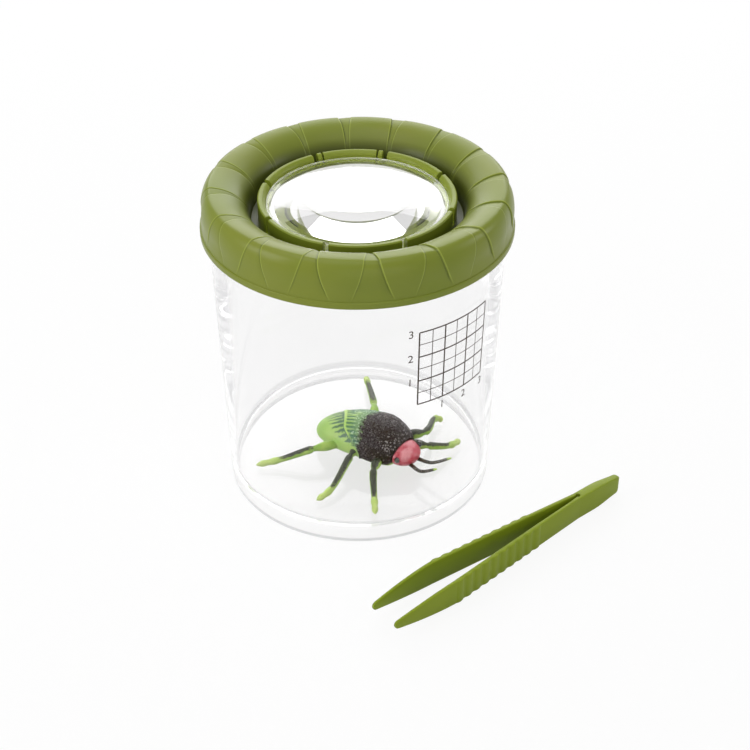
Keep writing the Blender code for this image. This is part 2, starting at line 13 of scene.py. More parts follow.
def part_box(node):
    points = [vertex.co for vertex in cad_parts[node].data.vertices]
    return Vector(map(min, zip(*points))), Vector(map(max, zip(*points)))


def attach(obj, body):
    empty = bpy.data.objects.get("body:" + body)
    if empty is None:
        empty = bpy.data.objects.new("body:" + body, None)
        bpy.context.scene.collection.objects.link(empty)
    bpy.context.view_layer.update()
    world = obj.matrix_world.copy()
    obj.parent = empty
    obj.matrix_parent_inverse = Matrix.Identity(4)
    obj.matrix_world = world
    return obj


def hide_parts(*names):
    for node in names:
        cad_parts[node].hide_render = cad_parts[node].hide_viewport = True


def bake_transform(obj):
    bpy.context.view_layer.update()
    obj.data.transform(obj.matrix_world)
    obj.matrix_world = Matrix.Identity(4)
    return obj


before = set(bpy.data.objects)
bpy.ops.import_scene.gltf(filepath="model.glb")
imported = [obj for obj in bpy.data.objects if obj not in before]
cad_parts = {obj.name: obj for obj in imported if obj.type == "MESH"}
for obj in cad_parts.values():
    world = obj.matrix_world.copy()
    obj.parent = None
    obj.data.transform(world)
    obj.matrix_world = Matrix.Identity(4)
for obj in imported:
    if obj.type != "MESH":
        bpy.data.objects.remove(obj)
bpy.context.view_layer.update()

# Where the frame puts things
jar_low, jar_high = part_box("jar_body")
lid_low, lid_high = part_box("lid_ring")
collar_low, collar_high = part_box("lens_collar")
lens_low, lens_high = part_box("magnifier_lens")
jar_axis = Vector(((jar_low.x + jar_high.x) / 2.0, (jar_low.y + jar_high.y) / 2.0, 0.0))

merge_reach = 0.000002
smooth_angle = 32.0
fit_gap = 0.0003

# Jar
jar_base_radius = 0.0490
jar_rim_radius = (jar_high.x - jar_low.x) / 2.0
jar_height = jar_high.z
jar_wall = 0.0016
jar_floor_top = 0.0072
jar_floor_thickness = 0.0016
jar_floor_fillet = 0.0010
jar_foot_round = 0.0006
jar_columns = 180
jar_ior = 1.20

# Lid ring
lid_lip_radius = (lid_high.x - lid_low.x) / 2.0
lid_skirt_radius = lid_lip_radius - 0.0005
lid_skirt_bottom = lid_low.z
lid_lip_height = 0.0026
lid_lip_round = 0.0005
lid_crown_radius = lid_skirt_radius - 0.0042
lid_crown_top = lid_high.z
lid_outer_spring = lid_crown_top - 0.0083
lid_web_top = lid_crown_top - 0.0132
lid_inner_spring = lid_web_top + 0.0018
lid_web_thickness = 0.0018
lid_web_round = 0.0006
lid_web_hole_radius = 0.0298
lid_hole_radius = 0.0373
lid_shell = 0.0018
lid_plug_thickness = 0.0015
lid_plug_depth = 0.0048

# Leaf relief
petal_count = 16
petal_turn = 5.0
wedge_sink = 0.0005
wedge_lift_share = 0.45
petal_crown = 0.00012
relief_fade_share = 0.15
wedge_inner_angle = 2.4
wedge_skirt_angle = 15.5

# Lens collar and lens
collar_radius = (collar_high.x - collar_low.x) / 2.0
collar_wall = 0.0026
collar_ledge_width = 0.0018
collar_base_height = 0.0021
collar_ledge_height = 0.0030
collar_inner_bevel = 0.0011
collar_outer_bevel = 0.0004
collar_edge_bevel = 0.00018
finger_slot_width = 0.0020
finger_slot_turn = 27.0
finger_count = 8
snap_slit_width = 0.0007
snap_slit_turn = 94.5
snap_slit_spread = 17.5
lens_rim_height = 0.0030
lens_bulge = (lens_high.z - lens_low.z - lens_rim_height) / 2.0
lens_rounding = 0.0003
lens_rings = 32
lens_ior = 1.44

# Tweezers, with x from the tail of the heel to the tips
tweezers_place = Vector((0.0967, -0.0221, 0.0))
tweezers_turn = 218.6
tweezers_length = 0.1138
tweezers_heel_length = 0.0220
heel_end_height = 0.0074
heel_height = 0.0098
heel_end_width = 0.0026
heel_width = 0.0038
heel_round = 0.0022
heel_widen_share = 0.7
heel_rise_share = 0.6
arm_thickness = 0.0015
arm_height = 0.0101
arm_tip_height = 0.0030
arm_tip_thickness = 0.0011
arm_taper_length = 0.0280
arm_spread = 0.0071
arm_tip_spread = 0.0064
arm_bend_place = 0.0870
arm_edge_round = 0.00045
arm_tip_round = 0.0014
throat_hole_radius = 0.0009
throat_hole_place = tweezers_heel_length - throat_hole_radius / 2.0
rib_count = 10
rib_height = 0.00042
rib_start = 0.0440
rib_pitch = 0.0044
rib_share = 0.75
rib_fullness = 0.7
tip_ease = 1.6

# Toy beetle, with x towards its head, y to its left and z up from the jar's floor
beetle_place = Vector((0.0031, -0.0039, jar_floor_top))
beetle_turn = -39.5
beetle_tail = -0.0186
beetle_waist = 0.0054
beetle_neck = 0.0168
beetle_nose = 0.0236
beetle_half_width = 0.0115
beetle_belly = 0.0028
beetle_side = 0.0072
beetle_back = 0.0156
beetle_tail_swing = 0.0058
beetle_tail_droop = 0.0020
beetle_neck_height = 0.0118
beetle_neck_width = 0.0080
beetle_neck_belly = 0.0034
thorax_stand = 0.0005
head_half_width = 0.0066
head_top = 0.0105
head_belly = 0.0026
wing_tail_angle = 12.0
head_nose_angle = 75.0
hip_radius = 0.0016
thigh_radius = 0.0015
shin_radius = 0.0011
foot_radius = 0.0010
foot_bump = 0.0003
hip_height = 0.0058
knee_height = 0.0066
ankle_height = 0.0032
leg_wall_gap = 0.0076

# Where the legs' paint fades, counted from 0 at the hip to 3 at the foot
leg_paint_end = (1.75, 2.35)
rear_paint_start = (0.5, 1.4)
foot_tint_rise = (1.6, 2.7)
leg_paint_up = (0.05, 0.95)
leg_steps = 12
feeler_steps = 14
feeler_tip_rise = (0.82, 0.97)
feeler_root_radius = 0.0008
feeler_tip_radius = 0.0005
leg_route_shares = {
    "beetle_leg_rear_right": ((-0.09, -0.20), (-0.30, -0.56), (-0.54, -0.81), (-0.73, -1.00)),
    "beetle_leg_mid_right": ((0.06, -0.19), (0.09, -0.40), (0.19, -0.82), (0.16, -1.04)),
    "beetle_leg_front_right": ((0.33, -0.17), (0.43, -0.43), (0.63, -0.67), (0.77, -0.83)),
    "beetle_leg_rear_left": ((-0.06, 0.19), (-0.26, 0.44), (-0.61, 0.77), (-0.74, 0.89)),
    "beetle_leg_mid_left": ((0.23, 0.19), (0.47, 0.42), (0.35, 0.76), (0.40, 0.87)),
    "beetle_leg_front_left": ((0.34, 0.14), (0.63, 0.26), (0.73, 0.50), (0.75, 0.71)),
}
feeler_route_shares = {
    "beetle_feeler_right": ((0.93, -0.09, 0.21), (1.21, -0.17, 0.26), (1.48, -0.11, 0.41)),
    "beetle_feeler_left": ((0.93, 0.09, 0.21), (1.24, 0.08, 0.29), (1.53, 0.20, 0.46)),
}

# Measuring print on the wall
print_azimuth = -50.0
print_bottom = 0.0600
print_cell = 0.0050
print_cells = 6
print_line = 0.00030
print_bold_line = 0.00055
print_stand = 0.00002
print_depth = 0.00005
print_step = 0.0012
print_digit_height = 0.0030


# Meshes

def radians(angle):
    return math.radians(angle)


def around(angle, radius, height):
    """A point round the jar's axis, at an angle in radians."""
    return jar_axis + Vector((radius * math.cos(angle), radius * math.sin(angle), height))


def between(first, second, share):
    """The number that lies a share of the way from a first to a second."""
    return first + (second - first) * share


def arc(centre, width, height, start, end, steps):
    """Points along a stretch of an upright ellipse, from one angle to another."""
    points = []
    for step in range(steps + 1):
        angle = radians(between(start, end, step / steps))
        points.append((centre[0] + width * math.cos(angle), centre[1] + height * math.sin(angle)))
    return points


def rounding_arc(across, up, radius, start, end, steps):
    """The same along a circle whose middle is across and up."""
    return arc((across, up), radius, radius, start, end, steps)


def grid(rings, columns, entry):
    """Rows of entries, each made from its ring's share, 0 to 1, and its angle round the ring."""
    return [[entry(ring / rings, 360.0 * column / columns) for column in range(columns)]
            for ring in range(rings + 1)]


def skin(name, rows, loop=False, caps=False, tags=()):
    """A mesh over closed rows of points, all with the same count.

    loop joins the last row to the first and caps fills the end rows. Where tags names numbers that
    materials read, each entry of a row is (point, number, ...), with a number for each name.
    """
    bm = bmesh.new()
    layers = [bm.verts.layers.float.new(tag) for tag in tags]
    verts = []
    for row in rows:
        made = []
        for entry in row:
            vert = bm.verts.new(entry[0] if tags else entry)
            for layer, value in zip(layers, entry[1:]):
                vert[layer] = value
            made.append(vert)
        verts.append(made)
    pairs = list(zip(verts, verts[1:]))
    if loop:
        pairs.append((verts[-1], verts[0]))
    for near, far in pairs:
        for corners in zip(near, near[1:] + near[:1], far[1:] + far[:1], far):
            bm.faces.new(corners)
    if caps:
        bm.faces.new(verts[0])
        bm.faces.new(verts[-1])
    return finish_mesh(name, bm)


def finish_mesh(name, bm):
    """Merge doubled points, face the mesh outwards, shade it smooth and hand it over."""
    bmesh.ops.remove_doubles(bm, verts=bm.verts, dist=merge_reach)
    bmesh.ops.dissolve_degenerate(bm, edges=bm.edges, dist=merge_reach)
    bmesh.ops.recalc_face_normals(bm, faces=bm.faces)
    mesh = bpy.data.meshes.new(name)
    bm.to_mesh(mesh)
    bm.free()
    mesh.shade_smooth()
    mesh.set_sharp_from_angle(angle=radians(smooth_angle))
    return mesh


def lathe(name, profile, columns, closed=False, tags=()):
    """Turn a profile of (radius, height) points round the jar's axis, with a number for each tag."""
    rows = []
    for radius, height, *values in profile:
        row = [around(math.tau * column / columns, radius, height) for column in range(columns)]
        rows.append([(point, *values) for point in row] if tags else row)
    return skin(name, rows, loop=closed, tags=tags)


def add_object(name, data):
    """A new object in the scene."""
    made = bpy.data.objects.new(name, data)
    bpy.context.scene.collection.objects.link(made)
    return made


def piece(name, mesh, material, body, slot, *nodes):
    """Show a mesh as a piece that rides on a body and stands for CAD nodes."""
    made = add_object(name, mesh)
    mesh.materials.append(material)
    if body:
        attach(made, body)
    if nodes:
        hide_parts(*nodes)
    return made


def join(name, meshes):
    """One mesh out of several."""
    bm = bmesh.new()
    for mesh in meshes:
        bm.from_mesh(mesh)
    joined = bpy.data.meshes.new(name)
    bm.to_mesh(joined)
    bm.free()
    joined.set_sharp_from_angle(angle=radians(smooth_angle))
    return joined


def share_between(value, start, end):
    """How far a value lies from a start to an end, kept from 0 to 1."""
    return min(max((value - start) / (end - start), 0.0), 1.0)


def ease(value, start, end):
    """The same share, but leaving and arriving gently."""
    share = share_between(value, start, end)
    return share * share * (3.0 - 2.0 * share)


# Materials, with the places of the mix node's colours

mix_first = 6
mix_second = 7
mix_result = 2


class Shader:
    """A Principled material and short calls for the nodes that feed it."""

    def __init__(self, name, **sockets):
        self.material = bpy.data.materials.new(name)
        self.material.use_nodes = True
        self.tree = self.material.node_tree
        self.main = self.tree.nodes["Principled BSDF"]
        for socket, value in sockets.items():
            self.main.inputs[socket.replace("_", " ")].default_value = value
        self.place = self.node("TexCoord").outputs["Object"]

    def node(self, kind, **inputs):
        """A new node, with plain values or links for its named inputs."""
        made = self.tree.nodes.new("ShaderNode" + kind)
        for socket, source in inputs.items():
            self.feed(made.inputs[socket.replace("_", " ")], source)
        return made

    def feed(self, target, source):
        """Link a socket to a target, or set the target to a number or a colour."""
        if isinstance(source, bpy.types.NodeSocket):
            self.tree.links.new(source, target)
        else:
            target.default_value = (*source, 1.0) if isinstance(source, tuple) else source

    def noise(self, scale, detail=2.0):
        """Smooth noise with features of about 1 / scale metres."""
        return self.node("TexNoise", Scale=scale, Detail=detail, Vector=self.place).outputs["Fac"]

    def cells(self, scale):
        """The distance to the nearest of scattered points, 0 at a point."""
        return self.node("TexVoronoi", Scale=scale, Vector=self.place).outputs["Distance"]

    def tag(self, name):
        """A number that the mesh holds at each point."""
        made = self.node("Attribute")
        made.attribute_name = name
        return made.outputs["Fac"]

    def ranged(self, source, low, high, to_low=0.0, to_high=1.0):
        """Map a number from one range to another and keep it there."""
        return self.node("MapRange", Value=source, From_Min=low, From_Max=high, To_Min=to_low,
                         To_Max=to_high).outputs["Result"]

    def math(self, kind, first, second):
        """Two numbers combined."""
        made = self.node("Math")
        made.operation = kind
        self.feed(made.inputs[0], first)
        self.feed(made.inputs[1], second)
        return made.outputs["Value"]

    def mix(self, share, first, second):
        """Two colours blended by a share."""
        made = self.node("Mix", Factor=share)
        made.data_type = "RGBA"
        self.feed(made.inputs[mix_first], first)
        self.feed(made.inputs[mix_second], second)
        return made.outputs[mix_result]

    def drift(self, scale, detail=2.0, to_low=0.0, to_high=1.0):
        """Noise spread over a range of numbers."""
        return self.ranged(self.noise(scale, detail), 0.3, 0.7, to_low, to_high)

    def mottled(self, first, second, scale, detail=2.0):
        """Two colours in soft patches."""
        return self.mix(self.ranged(self.noise(scale, detail), 0.35, 0.65), first, second)

    def frayed(self, tag, scale, spread, detail=3.0):
        """A tag whose edges are made ragged by noise."""
        return self.math("ADD", self.tag(tag), self.drift(scale, detail, -spread, spread))

    def colour(self, source):
        self.feed(self.main.inputs["Base Color"], source)

    def roughness(self, source):
        self.feed(self.main.inputs["Roughness"], source)

    def bump(self, source, depth):
        """Raise the surface by up to depth metres where the source is 1."""
        made = self.node("Bump", Strength=1.0, Distance=depth, Height=source)
        self.feed(self.main.inputs["Normal"], made.outputs["Normal"])

    def finish(self, scale, low, high, grain_scale=None, grain_depth=0.0, detail=2.0):
        """A gloss that drifts between two roughnesses, and a fine grain if it has a scale."""
        self.roughness(self.drift(scale, detail, low, high))
        if grain_scale:
            self.bump(self.noise(grain_scale), grain_depth)


def moulded_plastic(name, base, warm, roughness, edges=()):
    """Satin moulded plastic: slow drifts of colour and gloss, a faint skin of fine grain, and the
    colours of edges blended in where their tags are set, which on the lid are a painted highlight and
    painted shade.
    """
    shader = Shader(name, Specular_IOR_Level=0.25)
    colour = shader.mottled(base, warm, 26.0, 3.0)
    colour = shader.mix(shader.drift(900.0, 2.0, 0.0, 0.10), colour, warm)
    # Painted highlight and painted shade, each blended in where its tag is set
    for tag, share, edge in edges:
        colour = shader.mix(shader.ranged(shader.tag(tag), 0.0, 1.0, 0.0, share), colour, edge)
    shader.colour(colour)
    shader.finish(60.0, roughness - 0.05, roughness + 0.07, 2600.0, 0.000012, detail=3.0)
    return shader.material


def clear_material(name, tint, ior, **tagged):
    """Clear moulded plastic with a barely seen wave in its polish and a tint for each tag."""
    shader = Shader(name, IOR=ior, Transmission_Weight=1.0)
    shade = tuple(channel - 0.007 for channel in tint)
    colour = shader.mottled(tint, shade, 40.0, 1.0)
    for tag, tag_tint in tagged.items():
        colour = shader.mix(shader.tag(tag), colour, tag_tint)
    shader.colour(colour)
    shader.roughness(shader.ranged(shader.noise(300.0, 2.0), 0.4, 0.7, 0.0, 0.015))
    return shader


leaf_green = (0.188, 0.232, 0.026)
leaf_warm = (0.208, 0.240, 0.029)
# Painted highlight along the petals' step tops, painted shade at their feet and in the groove round the
# hole
painted_highlight_green = (0.400, 0.470, 0.080)
crease_shade_green = (0.080, 0.105, 0.014)
groove_shade_green = (0.050, 0.060, 0.010)
collar_green = (0.205, 0.258, 0.022)
collar_warm = (0.226, 0.270, 0.026)
tweezers_green = (0.205, 0.275, 0.008)
tweezers_warm = (0.222, 0.285, 0.011)
jar_tint = (0.980, 0.979, 0.980)
# Painted shade tinted into the clear jar: a grey floor and dark grey rounded edges
jar_floor_shade_tint = (0.900, 0.897, 0.896)
jar_edge_shade_tint = (0.600, 0.600, 0.610)
lens_tint = (0.895, 0.893, 0.888)
lens_rim_tint = (0.960, 0.960, 0.955)


# Jar

def jar_outer_radius(height):
    """The outer radius of the tapered wall at a height."""
    return between(jar_base_radius, jar_rim_radius, height / jar_height)


def jar_inner_radius(height):
    return jar_outer_radius(height) - jar_wall


def jar_profile():
    """The jar's section, from the middle of its floor out, over the rim and back below.

    Each point is (radius, height, floor tag, edge tag); the tags tint the floor grey and the rounded
    edges dark grey, as painted shade in the clear plastic.
    """
    rim_round = jar_wall / 2.0
    fillet = jar_floor_fillet
    foot = jar_foot_round
    middle = jar_base_radius / 3.0
    fillet_end = jar_inner_radius(jar_floor_top + fillet) - fillet
    underside = jar_floor_top - jar_floor_thickness
    foot_inner = jar_base_radius - jar_wall
    wall_foot = jar_floor_top + 2.0 * fillet
    stretches = (
        (1.0, 0.0, [(radius, jar_floor_top) for radius in (0.0, middle, fillet_end - fillet)]),
        (0.6, 0.55, rounding_arc(fillet_end, jar_floor_top + fillet, fillet, -90.0, 0.0, 6)),
        (0.0, 0.0, [(jar_inner_radius(wall_foot), wall_foot)]),
        (0.0, 0.0, rounding_arc(jar_rim_radius - rim_round, jar_height - rim_round, rim_round,
                                180.0, 0.0, 12)),
        (0.0, 0.0, [(jar_outer_radius(jar_floor_top), jar_floor_top)]),
        (0.6, 0.0, [(jar_outer_radius(height), height) for height in (underside, 3.0 * foot)]),
        (0.0, 1.0, rounding_arc(jar_base_radius - foot, foot, foot, 0.0, -90.0, 6)),
        (0.0, 1.0, rounding_arc(foot_inner + foot / 2.0, foot / 2.0, foot / 2.0, 270.0, 180.0, 3)),
        (0.6, 0.0, [(foot_inner, fillet)]),
        (0.0, 0.0, rounding_arc(foot_inner - fillet, underside - fillet, fillet, 0.0, 90.0, 5)),
        (1.0, 0.0, [(middle, underside), (0.0, underside)]),
    )
    return [(*point, floor, edge) for floor, edge, stretch in stretches for point in stretch]


def build_jar():
    # Painted shade: the floor tinted grey, and the rounded edges of the foot and of the floor's fillet
    # dark grey
    tints = {"floor_shade_share": jar_floor_shade_tint, "edge_shade_share": jar_edge_shade_tint}
    clear = clear_material("clear_jar_plastic", jar_tint, jar_ior, **tints)
    mesh = lathe("jar_clear_body", jar_profile(), jar_columns, tags=tuple(tints))
    jar = piece("jar_clear_body", mesh, clear.material, "jar", "clear_plastic", "jar_body")
    jar.visible_shadow = False
    build_print()


def on_wall(along, up, depth):
    """A point of the print: metres to the right along the wall, metres up and how proud it is."""
    angle = radians(print_azimuth) + along / jar_outer_radius(print_bottom)
    return around(angle, jar_outer_radius(up) + depth, up)


def print_bar(left, right, bottom, top):
    """A closed thin bar of ink, bent round the wall."""
    steps = max(1, round((right - left) / print_step))
    corners = ((bottom, print_stand), (top, print_stand), (top, print_depth), (bottom, print_depth))
    rows = [[on_wall(between(left, right, step / steps), up, depth) for up, depth in corners]
            for step in range(steps + 1)]
    return skin("print_bar", rows, caps=True)


def print_digit(text, middle, bottom):
    """A digit of ink, bent round the wall."""
    curve = bpy.data.curves.new("print_digit", "FONT")
    curve.body = text
    curve.size = print_digit_height / 0.7
    curve.align_x = "CENTER"
    curve.extrude = (print_depth - print_stand) / 2.0
    helper = add_object("print_digit", curve)
    bpy.context.view_layer.update()
    mesh = bpy.data.meshes.new_from_object(helper)
    bpy.data.objects.remove(helper, do_unlink=True)
    for vert in mesh.vertices:
        depth = print_depth if vert.co.z > 0.0 else print_stand
        vert.co = on_wall(middle + vert.co.x, bottom + vert.co.y, depth)
    return mesh


def build_print():
    """A plain measuring grid with numbered centimetres, printed on the wall."""
    half = print_cells * print_cell / 2.0
    digit = print_digit_height
    meshes = []
    for line in range(print_cells + 1):
        bold = line % 2 == 0
        width = (print_bold_line if bold else print_line) / 2.0
        across = line * print_cell - half
        up = print_bottom + line * print_cell
        meshes.append(print_bar(across - width, across + width, print_bottom,
                                print_bottom + 2.0 * half))
        meshes.append(print_bar(-half, half, up - width, up + width))
        if bold and line:
            number = str(line // 2)
            meshes.append(print_digit(number, across, print_bottom - 1.6 * digit))
            meshes.append(print_digit(number, -half - digit, up - digit / 2.0))
    shader = Shader("print_ink")
    shader.colour(shader.mottled((0.045, 0.028, 0.020), (0.075, 0.050, 0.036), 1500.0))
    shader.finish(400.0, 0.40, 0.60)
    piece("jar_measuring_print", join("jar_measuring_print", meshes), shader.material, "jar",
          "clear_plastic")


# Lid ring

def crown_outside():
    """The crown's upper surface, from the hole's edge over the top to the lip."""
    inner = arc((lid_crown_radius, lid_inner_spring), lid_crown_radius - lid_hole_radius,
                lid_crown_top - lid_inner_spring, 180.0, 90.0, 22)
    outer = arc((lid_crown_radius, lid_outer_spring), lid_skirt_radius - lid_crown_radius,
                lid_crown_top - lid_outer_spring, 90.0, 0.0, 16)
    lip_top = lid_skirt_bottom + lid_lip_height
    skirt = [(lid_skirt_radius, between(lid_outer_spring, lip_top, step / 6.0)) for step in range(1, 7)]
    return inner + outer[1:] + skirt


def lid_section():
    """The lid's section as (radius, height, whether it is the crown's outside)."""
    lip_top = lid_skirt_bottom + lid_lip_height
    lip_middle = lid_lip_radius - lid_lip_round
    wall_inner = lid_hole_radius + lid_shell
    web_edge = lid_hole_radius - lid_web_round
    slot_outer = jar_rim_radius + fit_gap
    stop = jar_height + fit_gap
    plug_bottom = jar_height - lid_plug_depth
    plug_outer = jar_inner_radius(plug_bottom) - fit_gap
    plug_inner = plug_outer - lid_plug_thickness
    web_bottom = lid_web_top - lid_web_thickness
    before = [(lid_web_hole_radius, web_bottom), (lid_web_hole_radius, lid_web_top)]
    before += [(web_edge, lid_web_top)]
    before += rounding_arc(web_edge, lid_web_top + lid_web_round, lid_web_round, -90.0, 0.0, 4)
    after = rounding_arc(lip_middle, lip_top - lid_lip_round, lid_lip_round, 90.0, 0.0, 4)
    after += rounding_arc(lip_middle, lid_skirt_bottom + lid_lip_round, lid_lip_round, 0.0, -90.0, 4)
    after += [(slot_outer, lid_skirt_bottom), (slot_outer, stop), (plug_outer, stop)]
    after += [(plug_outer, plug_bottom), (plug_inner, plug_bottom)]
    after += arc((plug_inner, lid_inner_spring), plug_inner - wall_inner,
                 lid_crown_top - lid_inner_spring - lid_shell, 90.0, 180.0, 10)
    after += [(wall_inner, web_bottom)]
    parts = ((before, False), (crown_outside(), True), (after, False))
    return [(*point, on_crown) for points, on_crown in parts for point in points]


def crown_share(radius, height):
    """How far a point of the lid's outside lies on its way from the hole to the lip, 0 to 1."""
    if radius <= lid_crown_radius:
        return 0.5 * (radius - lid_hole_radius) / (lid_crown_radius - lid_hole_radius)
    drop = lid_crown_top - height
    return 0.5 + 0.5 * drop / (lid_crown_top - lid_skirt_bottom - lid_lip_height)


def lean(radius):
    """How much of the crown's surface normal points outwards at a radius, 0 to 1."""
    return share_between(radius, lid_crown_radius, lid_skirt_radius)


# The steps on both sides of a petal: angle from its edge, sink share, and light and dark tags, for the
# painted highlight on a step's top and the painted shade at its foot
petal_rise_steps = ((-0.95, 0.85, 0.0, 0.15), (-0.62, 0.97, 0.0, 0.8), (-0.42, 1.0, 0.0, 1.0),
                    (-0.12, 0.35, 0.3, 0.3), (-0.02, 0.06, 1.0, 0.0), (0.16, 0.0, 1.0, 0.0),
                    (0.42, 0.0, 0.0, 0.0))
petal_fall_steps = ((-0.36, 0.0, 0.0, 0.0), (-0.10, 0.0, 0.8, 0.0), (0.04, 0.05, 0.8, 0.0),
                    (0.34, 0.92, 0.0, 0.8), (0.55, 1.0, 0.0, 0.4), (0.80, 1.0, 0.0, 0.0))
# Painted shade: how much each band darkens the side of the hole, and the shares between which it fades
groove_shade_bands = ((0.75, 0.02, 0.16), (0.25, 0.10, 0.42))
petal_inner_columns = 9
wedge_inner_columns = 3


def relief_columns(share):
    """The columns of one petal and its wedge at a share: (angle, sink share, light, dark)."""
    pitch = 360.0 / petal_count
    left = between(wedge_inner_angle, wedge_skirt_angle, share ** 2) / 2.0
    right = pitch - left
    columns = [(left + angle, sink, light, dark) for angle, sink, light, dark in petal_rise_steps]
    start = columns[-1][0]
    end = right + petal_fall_steps[0][0]
    steps = petal_inner_columns + 1
    columns += [(between(start, end, column / steps), 0.0, 0.0, 0.0) for column in range(1, steps)]
    columns += [(right + angle, sink * wedge_lift_share, light, dark)
                for angle, sink, light, dark in petal_fall_steps]
    start = columns[-1][0]
    end = left + pitch + petal_rise_steps[0][0]
    steps = wedge_inner_columns + 1
    columns += [(between(start, end, column / steps),
                 between(wedge_lift_share, petal_rise_steps[0][1], column / steps), 0.0, 0.0)
                for column in range(1, steps)]
    return columns, left, right


def build_lid_ring():
    """The hollow ring with its leaf relief, tagged for a painted highlight and painted shade along the
    petals' edges and for painted shade in the hole.
    """
    rows = []
    for radius, height, on_crown in lid_section():
        share = 0.0
        if radius > lid_hole_radius - fit_gap:
            share = min(max(crown_share(radius, height), 0.0), 1.0)
        fade = 0.0
        if on_crown:
            fade = min(1.0, share / relief_fade_share, (1.0 - share) / relief_fade_share)
        groove = 0.0
        # Painted shade down the side of the hole
        if radius < lid_crown_radius and height > lid_web_top - merge_reach:
            groove = sum(part * (1.0 - ease(share, start, end)) for part, start, end in groove_shade_bands)
        columns, left, right = relief_columns(share)
        row = []
        for petal in range(petal_count):
            turn = petal_turn + petal * 360.0 / petal_count
            for angle, sink_share, light, dark in columns:
                crown_sink = petal_crown * (2.0 * share_between(angle, left, right) - 1.0) ** 2
                sink = (wedge_sink * sink_share + crown_sink) * fade
                point = around(radians(angle + turn), radius - sink * lean(radius),
                               height - sink * (1.0 - lean(radius)))
                row.append((point, light * fade, dark * fade, groove))
        rows.append(row)
    mesh = skin("lid_leaf_ring", rows, loop=True, tags=("painted_edge_highlight", "painted_crease_shade", "groove"))
    # Painted shade in the hole, painted highlight on the petals' step tops and painted shade at their
    # feet
    edges = (("groove", 0.85, groove_shade_green), ("painted_edge_highlight", 0.55, painted_highlight_green),
             ("painted_crease_shade", 0.55, crease_shade_green))
    green = moulded_plastic("lid_green_plastic", leaf_green, leaf_warm, 0.33, edges)
    piece("lid_leaf_ring", mesh, green, "lid", "green_plastic", "lid_ring")


# Lens collar and lens

collar_bottom = collar_low.z
collar_top = collar_high.z
collar_inner = collar_radius - collar_wall
ledge_radius = collar_inner - collar_ledge_width
ledge_top = collar_bottom + collar_ledge_height
lens_rim_bottom = ledge_top + fit_gap
lens_rim_top = lens_rim_bottom + lens_rim_height
slot_bottom = collar_bottom + collar_base_height


def sweep(name, profile, start, end, bevel, columns):
    """A profile swept round the jar's axis between two azimuths, with bevelled ends."""
    middle = Vector((sum(point[0] for point in profile), sum(point[1] for point in profile)))
    middle /= len(profile)
    ease_angle = math.degrees(bevel / middle.x)
    stations = [(start, bevel), (start + ease_angle, 0.0)]
    stations += [(start + ease_angle + (end - start - 2.0 * ease_angle) * step / columns, 0.0)
                 for step in range(1, columns)]
    stations += [(end - ease_angle, 0.0), (end, bevel)]
    rows = []
    for azimuth, pull in stations:
        row = []
        for radius, height in profile:
            point = Vector((radius, height))
            point += (middle - point).normalized() * pull
            row.append(around(radians(azimuth), point.x, point.y))
        rows.append(row)
    return skin(name, rows, caps=True)


def finger_profile():
    """One finger's section: a wall with a broad bevel inside its top and a ledge for the lens."""
    low = slot_bottom - fit_gap
    rounding = collar_edge_bevel
    bevel_foot = collar_top - collar_inner_bevel
    bevel_end = collar_inner + collar_inner_bevel
    return [
        (ledge_radius, low),
        (ledge_radius, ledge_top - rounding),
        (ledge_radius + rounding, ledge_top),
        (collar_inner - rounding, ledge_top),
        (collar_inner, ledge_top + rounding),
        (collar_inner, bevel_foot - rounding),
        (collar_inner + rounding / 2.0, bevel_foot),
        (bevel_end - rounding / 2.0, collar_top - rounding / 2.0),
        (bevel_end + rounding / 2.0, collar_top),
        (collar_radius - collar_outer_bevel, collar_top),
        (collar_radius - rounding, collar_top - collar_outer_bevel / 2.0),
        (collar_radius, collar_top - collar_outer_bevel),
        (collar_radius, low),
    ]


def finger_spans():
    """The azimuths between which the fingers and the snap's posts stand."""
    half_slot = math.degrees(finger_slot_width / 2.0 / collar_radius)
    half_slit = math.degrees(snap_slit_width / 2.0 / collar_radius)
    pitch = 360.0 / finger_count
    cuts = [(finger_slot_turn + number * pitch, half_slot) for number in range(finger_count)]
    cuts += [(snap_slit_turn + side * snap_slit_spread, half_slit) for side in (-1.0, 1.0)]
    cuts.sort()
    cuts.append((cuts[0][0] + 360.0, half_slot))
    return [(first + first_half, second - second_half)
            for (first, first_half), (second, second_half) in zip(cuts, cuts[1:])]


def build_collar():
    """The base ring and the fingers that stand on it."""
    base = [(ledge_radius, collar_bottom), (ledge_radius, slot_bottom), (collar_radius, slot_bottom),
            (collar_radius, collar_bottom)]
    meshes = [lathe("collar_base", base, 120, closed=True)]
    for start, end in finger_spans():
        columns = max(2, round((end - start) / 3.0))
        meshes.append(sweep("finger", finger_profile(), start, end, collar_edge_bevel, columns))
    green = moulded_plastic("collar_green_plastic", collar_green, collar_warm, 0.34)
    piece("lens_collar_fingers", join("lens_collar_fingers", meshes), green, "lid", "green_plastic",
          "lens_collar")


